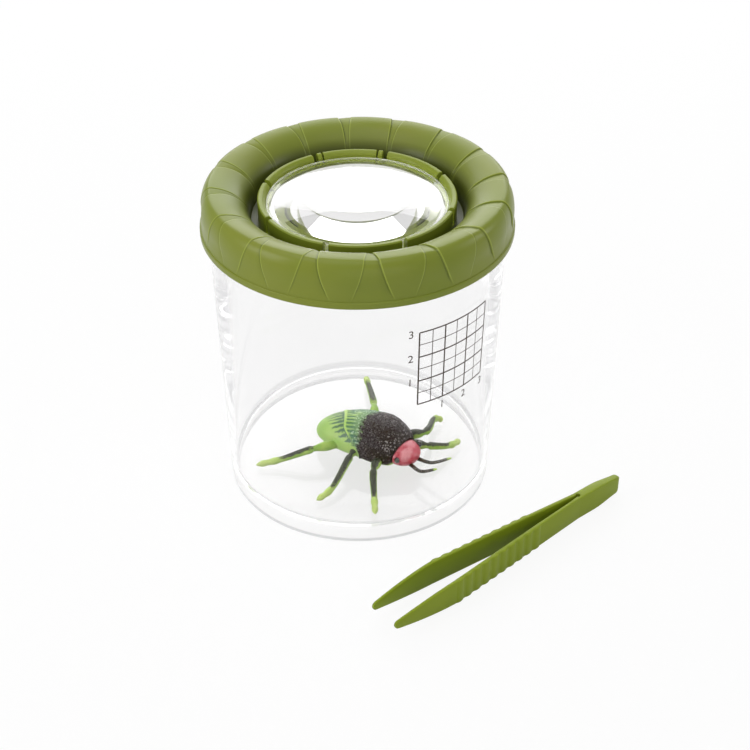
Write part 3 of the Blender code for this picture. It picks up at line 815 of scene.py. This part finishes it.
def build_lens():
    """The magnifier: equal bulges above and below a round rim with softened edges."""
    edge = ledge_radius - fit_gap
    middle = collar_inner - fit_gap - lens_rounding
    ball_radius = (edge ** 2 + lens_bulge ** 2) / (2.0 * lens_bulge)
    bulge = []
    for ring in range(lens_rings + 1):
        radius = edge * ring / lens_rings
        bulge.append((radius, math.sqrt(ball_radius ** 2 - radius ** 2) - (ball_radius - lens_bulge)))
    rim = rounding_arc(middle, lens_rim_top - lens_rounding, lens_rounding, 90.0, 0.0, 3)
    rim += rounding_arc(middle, lens_rim_bottom + lens_rounding, lens_rounding, 0.0, -90.0, 3)
    profile = [(radius, lens_rim_top + rise, 0.0) for radius, rise in bulge]
    profile += [(*point, 1.0) for point in rim]
    profile += [(radius, lens_rim_bottom - rise, 0.0) for radius, rise in reversed(bulge)]
    clear = clear_material("clear_lens_plastic", lens_tint, lens_ior, rim_share=lens_rim_tint)
    clear.roughness(clear.ranged(clear.tag("rim_share"), 0.4, 0.9, 0.0, 0.30))
    mesh = lathe("magnifier_lens_clear", profile, 160, tags=("rim_share",))
    lens = piece("magnifier_lens_clear", mesh, clear.material, "lid", "lens_plastic", "magnifier_lens")
    lens.visible_shadow = False


# Tweezers

def arm_outer(place):
    """How far the outside of an arm or of the heel stands from the middle line."""
    if place < tweezers_heel_length:
        settle = ease(place, 0.0, tweezers_heel_length * heel_widen_share)
        return between(heel_end_width, heel_width, settle) / 2.0 * round_end(place)
    open_share = share_between(place, tweezers_heel_length, arm_bend_place)
    bend_share = share_between(place, arm_bend_place, tweezers_length)
    return (between(heel_width / 2.0, arm_spread, open_share)
            + (arm_tip_spread - arm_spread) * bend_share ** 2)


def round_end(place):
    """How full the heel is near its rounded tail, 0 to 1."""
    share = share_between(place, 0.0, heel_round)
    return math.sqrt(1.0 - (1.0 - share) ** 2)


def arm_taper(place):
    """How far a place lies along the tapered end of the arms, 0 to 1."""
    return share_between(place, tweezers_length - arm_taper_length, tweezers_length)


def arm_inner(place):
    """The inside face of one half: the middle line in the heel, then round the throat hole."""
    off = abs(place - throat_hole_place)
    hole = math.sqrt(throat_hole_radius ** 2 - off ** 2) if off < throat_hole_radius else 0.0
    if place < throat_hole_place:
        return hole
    return max(hole, arm_outer(place) - between(arm_thickness, arm_tip_thickness, arm_taper(place)))


def arm_levels(place):
    """The lower and upper edges of the tweezers at a place along them."""
    if place < tweezers_heel_length:
        rise = ease(place, 0.0, tweezers_heel_length * heel_rise_share)
        height = between(heel_end_height, heel_height, rise)
        full = height * (0.55 + 0.45 * round_end(place))
        low = (heel_height - full) / 2.0
        return low, low + full
    taper = arm_taper(place) ** tip_ease
    height = between(heel_height, arm_height, share_between(place, tweezers_heel_length, rib_start))
    tip_low = (arm_height - arm_tip_height) / 2.0
    low = tip_low * taper
    high = between(height, tip_low + arm_tip_height, taper)
    rounding = share_between(place, tweezers_length - arm_tip_round, tweezers_length)
    squeeze = 0.35 + 0.65 * math.sqrt(1.0 - rounding ** 2)
    middle = (low + high) / 2.0
    return between(middle, low, squeeze), between(middle, high, squeeze)


def rib_proud(place):
    """How proud of the arm's outside the grip ribs stand at a place."""
    along = (place - rib_start) / rib_pitch
    wave = along % 1.0
    if not 0.0 <= along <= rib_count or wave > rib_share:
        return 0.0
    return rib_height * math.sin(math.pi * wave / rib_share) ** rib_fullness


def half_stations():
    """Places along one half, close together where the shape changes."""
    places = [heel_round * (1.0 - math.cos(radians(90.0 * step / 8))) for step in range(9)]
    places += [0.004 + 0.0025 * step for step in range(7)]
    places += [throat_hole_place + throat_hole_radius * math.sin(radians(angle))
               for angle in range(-90, 91, 15)]
    places += [0.0235 + 0.0025 * step for step in range(9)]
    places += [rib_start + rib_pitch / 16.0 * step for step in range(16 * rib_count)]
    places += [0.0885 + 0.0022 * step for step in range(11)]
    places += [tweezers_length - arm_tip_round * (1.0 - math.sin(radians(15.0 * step)))
               for step in range(7)]
    return sorted(set(round(place, 6) for place in places))


def half_section(place):
    """Points round one half's section, with rounded corners where faces are free."""
    inner = arm_inner(place)
    outer = max(arm_outer(place), 0.00005)
    low, high = arm_levels(place)
    outer_round = min(arm_edge_round, (outer - inner) * 0.45, (high - low) * 0.3)
    free = ease(place, tweezers_heel_length - 0.001, tweezers_heel_length + 0.004)
    inner_round = outer_round * free
    corners = []
    for across, up, rounding, start in (
        (inner + inner_round, low + inner_round, inner_round, 180.0),
        (outer - outer_round, low + outer_round, outer_round, 270.0),
        (outer - outer_round, high - outer_round, outer_round, 0.0),
        (inner + inner_round, high - inner_round, inner_round, 90.0),
    ):
        corners += rounding_arc(across, up, rounding, start, start + 90.0, 3)
    proud = rib_proud(place)
    middle = (inner + outer) / 2.0
    return [Vector((place, across + proud * ease(share_between(across, middle, outer), 0.3, 1.0), up))
            for across, up in corners]


def build_tweezers():
    """Two halves that meet inside the heel, each in place of its own arm."""
    green = moulded_plastic("tweezers_green_plastic", tweezers_green, tweezers_warm, 0.44)
    turn = Matrix.Rotation(radians(tweezers_turn), 4, "Z")
    placing = Matrix.Translation(jar_axis + tweezers_place) @ turn
    halves = (
        ("tweezers_near_half", 1.0, "near_arm", ("tweezers_near_arm", "tweezers_heel")),
        ("tweezers_far_half", -1.0, "far_arm", ("tweezers_far_arm",)),
    )
    for name, side, body, nodes in halves:
        rows = []
        for place in half_stations():
            rows.append([placing @ Vector((point.x, side * point.y, point.z))
                         for point in half_section(place)])
        half = piece(name, skin(name, rows, caps=True), green, None, "tweezers_plastic", *nodes)
        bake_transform(half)


# Toy beetle

beetle_placing = (Matrix.Translation(jar_axis + beetle_place)
                  @ Matrix.Rotation(radians(beetle_turn), 4, "Z"))
flank_fullness = 0.72
thorax_back_edge = -0.0085
ridge_skew = 0.0064
ridge_reach = 0.0073
leg_reach = (jar_inner_radius(jar_floor_top) - math.hypot(beetle_place.x, beetle_place.y)
             - leg_wall_gap)

# Grooves behind the thorax: the slant is in degrees for each metre and the pitch in degrees
wing_overlap = 0.0010
feather_length = 0.0125
feather_shrink = 0.0045
feather_slant = 2200.0
feather_pitch = 10.0
feather_depth = 0.00016
feather_side_fade = (66.0, 80.0)

# Thorax shield. Fades ahead of its back edge are in metres, fades down from the back in degrees
rim_fade = (0.0005, 0.0015)
grain_fade = (0.0012, 0.0060)
hatch_rise = (0.0006, 0.0014)
hatch_fall = (0.0030, 0.0072)
frost_rise = (0.0014, 0.0036)
upper_fade = (100.0, 115.0)
spray_side_fade = (104.0, 118.0)
spray_middle = 0.0004
spray_bow = 0.0042
spray_behind = 0.0034
spray_ahead = 0.0026
spray_frost_place = -0.0016
spray_frost_fade = (0.0010, 0.0042)
neck_fade = (0.90, 1.0)
neck_highlight_rise = (0.0085, 0.0135)
# Pale grain tops: pale specks of paint all over, and a painted highlight behind the head
neck_highlight_middle = 125.0
neck_highlight_fade = (18.0, 50.0)
least_pale_specks = 0.35
far_side_rise = (-0.25, 0.45)
hatch_turns = 40.0
hatch_slant = 500.0
thorax_lip = 0.0004
grain_size = 0.00085
grain_height = 0.00034
hatch_depth = 0.00018
neck_tuck = 0.0007

# Head
# Painted highlight: a pale patch on the top of the head, off to its right
head_highlight_middle = Vector((0.0208, -0.0024))
head_highlight_stretch = Vector((1.20, 0.70))
head_highlight_fade = (0.0012, 0.0030)
eye_radius = 0.0011
eye_places = {
    "beetle_eye_right": (0.0190, -0.0060, 0.0076),
    "beetle_eye_left": (0.0204, 0.0060, 0.0084),
}


def body_size(place):
    """Half width, top and belly of the beetle's body at a place along it."""
    middle = (beetle_half_width, beetle_back, beetle_belly)
    if place <= beetle_waist:
        along = (place - beetle_waist) / (beetle_tail - beetle_waist)
        along *= math.cos(radians(wing_tail_angle))
        end = (0.0, beetle_side, beetle_side)
        share = 1.0 - math.sqrt(max(1.0 - along ** 2, 0.0))
    else:
        end = (beetle_neck_width, beetle_neck_height, beetle_neck_belly)
        share = ((place - beetle_waist) / (beetle_neck - beetle_waist)) ** 2
    return [between(full, small, share) for full, small in zip(middle, end)]


def body_point(place, angle, lift):
    """A point of the body's skin: angle 90 is the back, 270 the belly, and lift stands it out."""
    half_width, top, belly = body_size(place)
    behind = max(0.0, (beetle_waist - place) / (beetle_waist - beetle_tail))
    swing = beetle_tail_swing * behind
    droop = beetle_tail_droop * behind ** 2
    turned = radians(angle)
    across, up = math.cos(turned), math.sin(turned)
    height = top - beetle_side
    if up < 0.0:
        height = beetle_side - belly
        across = math.copysign(abs(across) ** flank_fullness, across)
        up = -abs(up) ** flank_fullness
    return Vector((
        place,
        (half_width + lift) * across - swing,
        beetle_side + (height + lift) * up - droop,
    ))


def off_back(angle):
    """How far an angle round the body lies from the middle of its back, 0 to 180."""
    return abs((angle - 90.0 + 180.0) % 360.0 - 180.0)


def ridge_place(angle):
    """Where the thorax ends behind: far back on the middle of the back, forward on the flanks."""
    forward = ridge_reach * ease(off_back(angle), 30.0, 95.0)
    return thorax_back_edge - ridge_skew * math.cos(radians(angle)) + forward


def beetle_piece(name, rows, tags, shader, slot, node):
    """Show tagged rows of points as a piece of the beetle, placed with it in the jar."""
    mesh = skin(name, rows, caps=True, tags=tags)
    mesh.transform(beetle_placing)
    piece(name, mesh, shader.material, "beetle", slot, node)


def wing_entry(share, angle):
    """A point of the abdomen, from its tail at share 0 to the thorax at 1, and its stripe tag."""
    quarter = radians(90.0 * share)
    front = ridge_place(angle) + wing_overlap
    place = between(beetle_tail, front, 1.0 - math.cos(quarter))
    away = off_back(angle)
    behind = front - place
    length = feather_length - feather_shrink * share_between(away, 0.0, feather_side_fade[1])
    painted = (1.0 - share_between(behind, 0.0, length)) * (1.0 - ease(away, *feather_side_fade))
    groove = 0.5 + 0.5 * math.cos(math.tau * (away - feather_slant * behind) / feather_pitch)
    sink = feather_depth * groove * min(1.0, painted * 1.6) * math.sin(quarter)
    stripe = (0.62 * groove + 0.80 * painted - 0.26) * min(1.0, 4.0 * painted)
    return body_point(place, angle, -sink), stripe


def build_wing_cases():
    """The lime abdomen, with feathered grooves that run back from the thorax."""
    shader = Shader("beetle_lime_paint", Subsurface_Weight=0.15, Subsurface_Scale=0.002)
    lime = shader.mottled((0.225, 0.375, 0.070), (0.290, 0.430, 0.105), 160.0, 3.0)
    mask = shader.ranged(shader.frayed("stripe", 1400.0, 0.25), 0.36, 0.62, 0.0, 0.95)
    shader.colour(shader.mix(mask, lime, (0.026, 0.090, 0.040)))
    shader.finish(500.0, 0.30, 0.46, 1600.0, 0.00003)
    beetle_piece("beetle_wing_cases_shell", grid(90, 180, wing_entry), ("stripe",), shader,
                 "wing_paint", "beetle_wing_cases")


def thorax_entry(share, angle):
    """A point of the thorax shield, from its back edge at share 0 to its neck at 1, and its tags."""
    back = ridge_place(angle)
    place = between(back, beetle_neck, share)
    away = off_back(angle)
    ahead = place - back
    to_left = math.cos(radians(angle))
    upper = 1.0 - ease(away, *upper_fade)
    rim = 1.0 - ease(ahead, *rim_fade)
    lift = thorax_stand * (0.35 + 0.65 * rim) * math.sin(radians(90.0 * min(1.0, ahead / thorax_lip)))
    grain = noise.voronoi(body_point(place, angle, 0.0) / grain_size)[0][0]
    grainy = upper * ease(ahead, *grain_fade)
    groove = 0.5 + 0.5 * math.cos(radians(away) * hatch_turns + ahead * hatch_slant)
    hatched = upper * (1.0 - ease(ahead, *hatch_fall)) * ease(ahead, *hatch_rise)
    lift += grain_height * grainy * (0.55 - min(grain, 1.0)) - hatch_depth * groove * hatched
    lift -= neck_tuck * ease(share, *neck_fade) ** 2
    spray_edge = spray_middle + spray_bow * abs(to_left)
    sprayed = ease(place, spray_edge - spray_behind, spray_edge + spray_ahead)
    sprayed *= 1.0 - ease(away, *spray_side_fade)
    far_side = ease(to_left, *far_side_rise)
    near_edge = 1.0 - ease(abs(place - spray_edge - spray_frost_place), *spray_frost_fade)
    frost = upper * max(near_edge * 0.75, far_side * ease(ahead, *frost_rise))
    by_head = ease(place, *neck_highlight_rise)
    by_head *= 1.0 - ease(abs(angle - neck_highlight_middle), *neck_highlight_fade)
    speck_and_highlight = max(least_pale_specks, by_head, far_side * 0.75)
    return body_point(place, angle, lift), sprayed, frost, hatched * (0.4 + 0.6 * groove), speck_and_highlight


def build_thorax():
    """The domed thorax shield: grained, sprayed dark, with a lime rim along its back edge and pale
    grain tops, partly pale specks of paint and partly a painted highlight behind the head.
    """
    shader = Shader("beetle_thorax_paint", Specular_IOR_Level=0.16)
    lime = shader.mottled((0.290, 0.440, 0.100), (0.360, 0.500, 0.150), 160.0, 3.0)
    tops = shader.ranged(shader.cells(1150.0), 0.10, 0.42, 1.0, 0.0)
    hatch = shader.ranged(shader.tag("hatch"), 0.35, 0.80, 0.0, 0.9)
    colour = shader.mix(hatch, lime, (0.030, 0.110, 0.050))
    frost = shader.mix(tops, (0.050, 0.130, 0.085), (0.560, 0.680, 0.520))
    colour = shader.mix(shader.ranged(shader.tag("frost"), 0.1, 0.9, 0.0, 0.85), colour, frost)
    # Pale grain tops in the dark spray: pale specks, and the painted highlight behind the head
    speck_and_highlight = shader.math("MULTIPLY", tops, shader.tag("speck_and_highlight"))
    dark = shader.mix(speck_and_highlight, (0.011, 0.004, 0.003), (0.330, 0.300, 0.285))
    mask = shader.ranged(shader.frayed("spray", 900.0, 0.28), 0.25, 0.68)
    shader.colour(shader.mix(mask, colour, dark))
    shader.finish(600.0, 0.32, 0.50)
    shader.bump(tops, 0.00005)
    beetle_piece("beetle_thorax_shield", grid(120, 240, thorax_entry),
                 ("spray", "frost", "hatch", "speck_and_highlight"), shader, "thorax_paint", "beetle_thorax")


def head_entry(share, angle):
    """A point of the head, from the neck at share 0 to the nose at 1, and its tag for the painted
    highlight on its top.
    """
    rear = beetle_neck + fit_gap
    nose_angle = radians(head_nose_angle)
    along = nose_angle * share
    reach = math.cos(along)
    across, up = math.cos(radians(angle)), math.sin(radians(angle))
    height = head_top - beetle_side if up > 0.0 else beetle_side - head_belly
    point = Vector((between(rear, beetle_nose, math.sin(along) / math.sin(nose_angle)),
                    head_half_width * reach * across, beetle_side + height * reach * up))
    off = ((point.xy - head_highlight_middle) * head_highlight_stretch).length
    return point, (1.0 - ease(off, *head_highlight_fade)) if point.z > beetle_side else 0.0


def bead(name, middle, radius, placing):
    """A round bead."""
    def entry(share, angle):
        level = radians(180.0 * share - 90.0)
        turned = radians(angle)
        return placing @ (middle + radius * Vector((
            math.cos(level) * math.cos(turned), math.cos(level) * math.sin(turned), math.sin(level))))
    return skin(name, grid(12, 24, entry))


def build_head():
    """The red head with a painted highlight as a paler patch, and its two eyes."""
    shader = Shader("beetle_crimson_paint", Coat_Weight=0.3, Coat_Roughness=0.15)
    red = shader.mix(shader.drift(500.0, 3.0), (0.330, 0.022, 0.042), (0.420, 0.045, 0.070))
    # Painted highlight: a pale pink patch blended into the red
    mask = shader.ranged(shader.frayed("head_highlight", 900.0, 0.2, 2.0), 0.25, 0.95, 0.0, 0.60)
    shader.colour(shader.mix(mask, red, (0.600, 0.290, 0.310)))
    shader.finish(500.0, 0.25, 0.40, 1100.0, 0.00004)
    beetle_piece("beetle_head_shell", grid(40, 96, head_entry), ("head_highlight",), shader, "head_paint",
                 "beetle_head")
    black = Shader("beetle_eye_paint", Coat_Weight=0.8, Coat_Roughness=0.05)
    black.colour(black.mix(black.noise(1500.0), (0.008, 0.006, 0.006), (0.020, 0.014, 0.012)))
    black.finish(900.0, 0.08, 0.16)
    for name, middle in eye_places.items():
        eye = bead(name, Vector(middle), eye_radius, beetle_placing)
        piece(name, eye, black.material, "beetle", "head_paint")


def smooth_route(points, steps):
    """Points on a smooth curve that passes through the given ones."""
    ends = [points[0] * 2.0 - points[1]] + points + [points[-1] * 2.0 - points[-2]]
    route = []
    for first, second, third, fourth in zip(ends, ends[1:], ends[2:], ends[3:]):
        for step in range(steps):
            share = step / steps
            route.append(0.5 * (
                second * 2.0
                + (third - first) * share
                + (first * 2.0 - second * 5.0 + third * 4.0 - fourth) * share ** 2
                + (second * 3.0 - first - third * 3.0 + fourth) * share ** 3
            ))
    return route + [points[-1]]


def leg_radius(share):
    """A leg's radius at a share of its way from 0 at the hip, by 1 and 2, to 3 at the foot."""
    if share <= 1.0:
        knob = 0.22 * math.exp(-((share - 0.62) / 0.16) ** 2)
        pinch = 0.32 * math.exp(-((share - 0.98) / 0.13) ** 2)
        return between(hip_radius, thigh_radius, share) * (1.0 + knob - pinch)
    if share <= 2.0:
        return between(thigh_radius, shin_radius, share - 1.0)
    bump = foot_bump * (0.5 - 0.5 * math.cos(math.tau * 2.0 * (share - 2.0)))
    return between(shin_radius, foot_radius, share - 2.0) + bump


def limb_rows(route, radii, sides, closing, tip_share):
    """Rings round a limb that closes at its end, and how far each point of a ring faces up."""
    for index in range(closing):
        radii[-1 - index] *= math.sqrt(1.0 - (1.0 - index / closing) ** 2) if index else tip_share
    facing = [math.sin(math.tau * side / sides) for side in range(sides)]
    rows = []
    for index, (point, radius) in enumerate(zip(route, radii)):
        ahead = (route[min(index + 1, len(route) - 1)] - route[max(index - 1, 0)]).normalized()
        across = ahead.cross(Vector((0.0, 0.0, 1.0))).normalized()
        up = across.cross(ahead)
        rows.append([point + (across * math.cos(math.tau * side / sides) + up * facing[side]) * radius
                     for side in range(sides)])
    return rows, facing


def build_limbs():
    """The six legs, dark above and lime below and at the feet, and the two feelers."""
    paint = Shader("beetle_leg_paint", Specular_IOR_Level=0.3)
    lime = paint.mottled((0.190, 0.330, 0.045), (0.280, 0.400, 0.075), 300.0)
    lime = paint.mix(paint.tag("foot"), lime, (0.400, 0.500, 0.140))
    dark = paint.mix(paint.noise(900.0), (0.014, 0.016, 0.010), (0.050, 0.056, 0.030))
    mask = paint.ranged(paint.frayed("painted", 700.0, 0.25), 0.35, 0.70)
    paint.colour(paint.mix(mask, lime, dark))
    paint.finish(500.0, 0.28, 0.42, 1300.0, 0.00004)
    heights = (hip_height, knee_height, ankle_height, fit_gap + foot_radius + foot_bump)
    for name, shares in leg_route_shares.items():
        points = [Vector((along * leg_reach, across * leg_reach, height))
                  for (along, across), height in zip(shares, heights)]
        route = smooth_route(points, leg_steps)
        radii = [leg_radius(index / leg_steps) for index in range(len(route))]
        rows, facing = limb_rows(route, radii, 16, 5, 0.12)
        tagged = []
        for index, row in enumerate(rows):
            along = index / leg_steps
            keep = 1.0 - ease(along, *leg_paint_end)
            if "rear" in name:
                keep *= ease(along, *rear_paint_start)
            foot = ease(along, *foot_tint_rise)
            tagged.append([(point, keep * ease(up, *leg_paint_up), foot)
                           for point, up in zip(row, facing)])
        beetle_piece(name + "_limb", tagged, ("painted", "foot"), paint, "leg_paint", name)
    paint = Shader("beetle_feeler_paint", Coat_Weight=0.5, Coat_Roughness=0.12)
    brown = paint.mix(paint.noise(800.0), (0.014, 0.010, 0.008), (0.040, 0.028, 0.018))
    paint.colour(paint.mix(paint.ranged(paint.tag("tip"), 0.3, 0.8), brown, (0.330, 0.470, 0.090)))
    paint.finish(500.0, 0.20, 0.34)
    for name, shares in feeler_route_shares.items():
        points = [Vector(point_shares) * beetle_nose for point_shares in shares]
        route = smooth_route(points, feeler_steps)
        last = len(route) - 1
        radii = [between(feeler_root_radius, feeler_tip_radius, index / last)
                 for index in range(last + 1)]
        rows, facing = limb_rows(route, radii, 14, 4, 0.15)
        tagged = [[(point, ease(index / last, *feeler_tip_rise)) for point in row]
                  for index, row in enumerate(rows)]
        beetle_piece(name + "_limb", tagged, ("tip",), paint, "feeler_paint", name)


# Floor, light and camera

def white_share(tree, *shares):
    """How white camera, glossy and transmitted rays should see the background."""
    path = tree.nodes.new("ShaderNodeLightPath")
    total = None
    for kind, share in zip(("Camera", "Glossy", "Transmission"), shares):
        scaled = tree.nodes.new("ShaderNodeMath")
        scaled.operation = "MULTIPLY"
        scaled.inputs[1].default_value = share
        tree.links.new(path.outputs["Is " + kind + " Ray"], scaled.inputs[0])
        largest = tree.nodes.new("ShaderNodeMath")
        largest.operation = "MAXIMUM"
        largest.inputs[1].default_value = 0.0
        tree.links.new(scaled.outputs[0], largest.inputs[0])
        if total:
            tree.links.new(total, largest.inputs[1])
        total = largest.outputs[0]
    return total


def show_seen(tree, lit, seen, shares, output):
    """Show the seen shader to the given shares of rays, as in white_share, and lit to the rest."""
    blend = tree.nodes.new("ShaderNodeMixShader")
    sources = (white_share(tree, *shares), lit.outputs[0], seen.outputs[0])
    for socket, source in zip(blend.inputs, sources):
        tree.links.new(source, socket)
    tree.links.new(blend.outputs[0], tree.nodes[output].inputs["Surface"])


def build_floor():
    """A pale floor that shows white and keeps a light shadow."""
    mesh = bpy.data.meshes.new("studio_floor")
    signs = ((-1.0, -1.0), (1.0, -1.0), (1.0, 1.0), (-1.0, 1.0))
    mesh.from_pydata([(x * floor_half, y * floor_half, 0.0) for x, y in signs], [], [(0, 1, 2, 3)])
    floor = add_object("studio_floor", mesh)
    material = bpy.data.materials.new("studio_floor_white")
    material.use_nodes = True
    tree = material.node_tree
    lit = tree.nodes["Principled BSDF"]
    lit.inputs["Base Color"].default_value = (0.80, 0.80, 0.80, 1.0)
    lit.inputs["Roughness"].default_value = 0.9
    seen = tree.nodes.new("ShaderNodeEmission")
    seen.inputs["Strength"].default_value = 1.0
    show_seen(tree, lit, seen, floor_shares, "Material Output")
    mesh.materials.append(material)


def build_world():
    """White where it is seen, and a plainer level where it lights."""
    world = bpy.data.worlds.new("studio_world")
    world.use_nodes = True
    bpy.context.scene.world = world
    tree = world.node_tree
    lit = tree.nodes["Background"]
    lit.inputs["Color"].default_value = (1.0, 1.0, 1.0, 1.0)
    lit.inputs["Strength"].default_value = world_level
    seen = tree.nodes.new("ShaderNodeBackground")
    seen.inputs["Strength"].default_value = 1.0
    show_seen(tree, lit, seen, world_shares, "World Output")


def area_lamp(name, place, target, width, height, power):
    """A soft box that faces a target."""
    lamp = bpy.data.lights.new(name, "AREA")
    lamp.shape = "RECTANGLE"
    lamp.size = width
    lamp.size_y = height
    lamp.energy = power
    made = add_object(name, lamp)
    made.location = place
    made.rotation_euler = (Vector(target) - Vector(place)).to_track_quat("-Z", "Y").to_euler()


# Shares of white that camera, glossy and transmitted rays see
floor_shares = (0.90, 0.30, 0.74)
world_shares = (1.0, 0.40, 1.0)
world_level = 0.36
floor_half = 1.6
light_bounces = 64

# The camera, with its angles in radians
camera_offset = Vector((0.0, -0.4975, 0.3926))
camera_heading = 0.0121
camera_dip = 0.6175
camera_roll = -0.0019
camera_focus_pixels = 1636.0
frame_pixels = 750.0
sensor_width = 36.0


def build_lights():
    middle = (0.0, 0.0, 0.06)
    area_lamp("overhead_softbox", (-0.15, -0.10, 1.0), middle, 0.9, 0.7, 3.2)
    area_lamp("back_card", (0.0, 0.85, 0.50), (0.0, 0.0, 0.12), 1.1, 0.62, 5.8)
    area_lamp("left_softbox", (-0.8, -0.30, 0.5), middle, 0.35, 0.5, 2.8)
    area_lamp("right_softbox", (0.85, 0.10, 0.45), middle, 0.3, 0.4, 1.3)
    area_lamp("front_softbox", (0.15, -0.95, 0.30), middle, 0.9, 0.5, 1.2)


def build_camera():
    """The photograph's viewpoint, found by matching the jar's rim, foot and lid."""
    ahead = Vector((math.sin(camera_heading), math.cos(camera_heading), 0.0))
    right = Vector((math.cos(camera_heading), -math.sin(camera_heading), 0.0))
    ahead = ahead * math.cos(camera_dip) + Vector((0.0, 0.0, -1.0)) * math.sin(camera_dip)
    up = right.cross(ahead)
    level_right = right * math.cos(camera_roll) + up * math.sin(camera_roll)
    level_up = -right * math.sin(camera_roll) + up * math.cos(camera_roll)
    placing = Matrix((level_right, level_up, -ahead)).transposed().to_4x4()
    placing.translation = jar_axis + camera_offset
    data = bpy.data.cameras.new("photo_camera")
    data.sensor_width = sensor_width
    data.lens = camera_focus_pixels / frame_pixels * sensor_width
    data.clip_start = 0.01
    camera = add_object("photo_camera", data)
    camera.matrix_world = placing
    bpy.context.scene.camera = camera


build_jar()
build_lid_ring()
build_collar()
build_lens()
build_tweezers()
build_wing_cases()
build_thorax()
build_head()
build_limbs()
build_floor()
build_world()
build_lights()
build_camera()
bpy.context.scene.view_settings.view_transform = "Standard"
bpy.context.scene.cycles.max_bounces = light_bounces
bpy.context.scene.cycles.glossy_bounces = light_bounces
bpy.context.scene.cycles.transmission_bounces = light_bounces
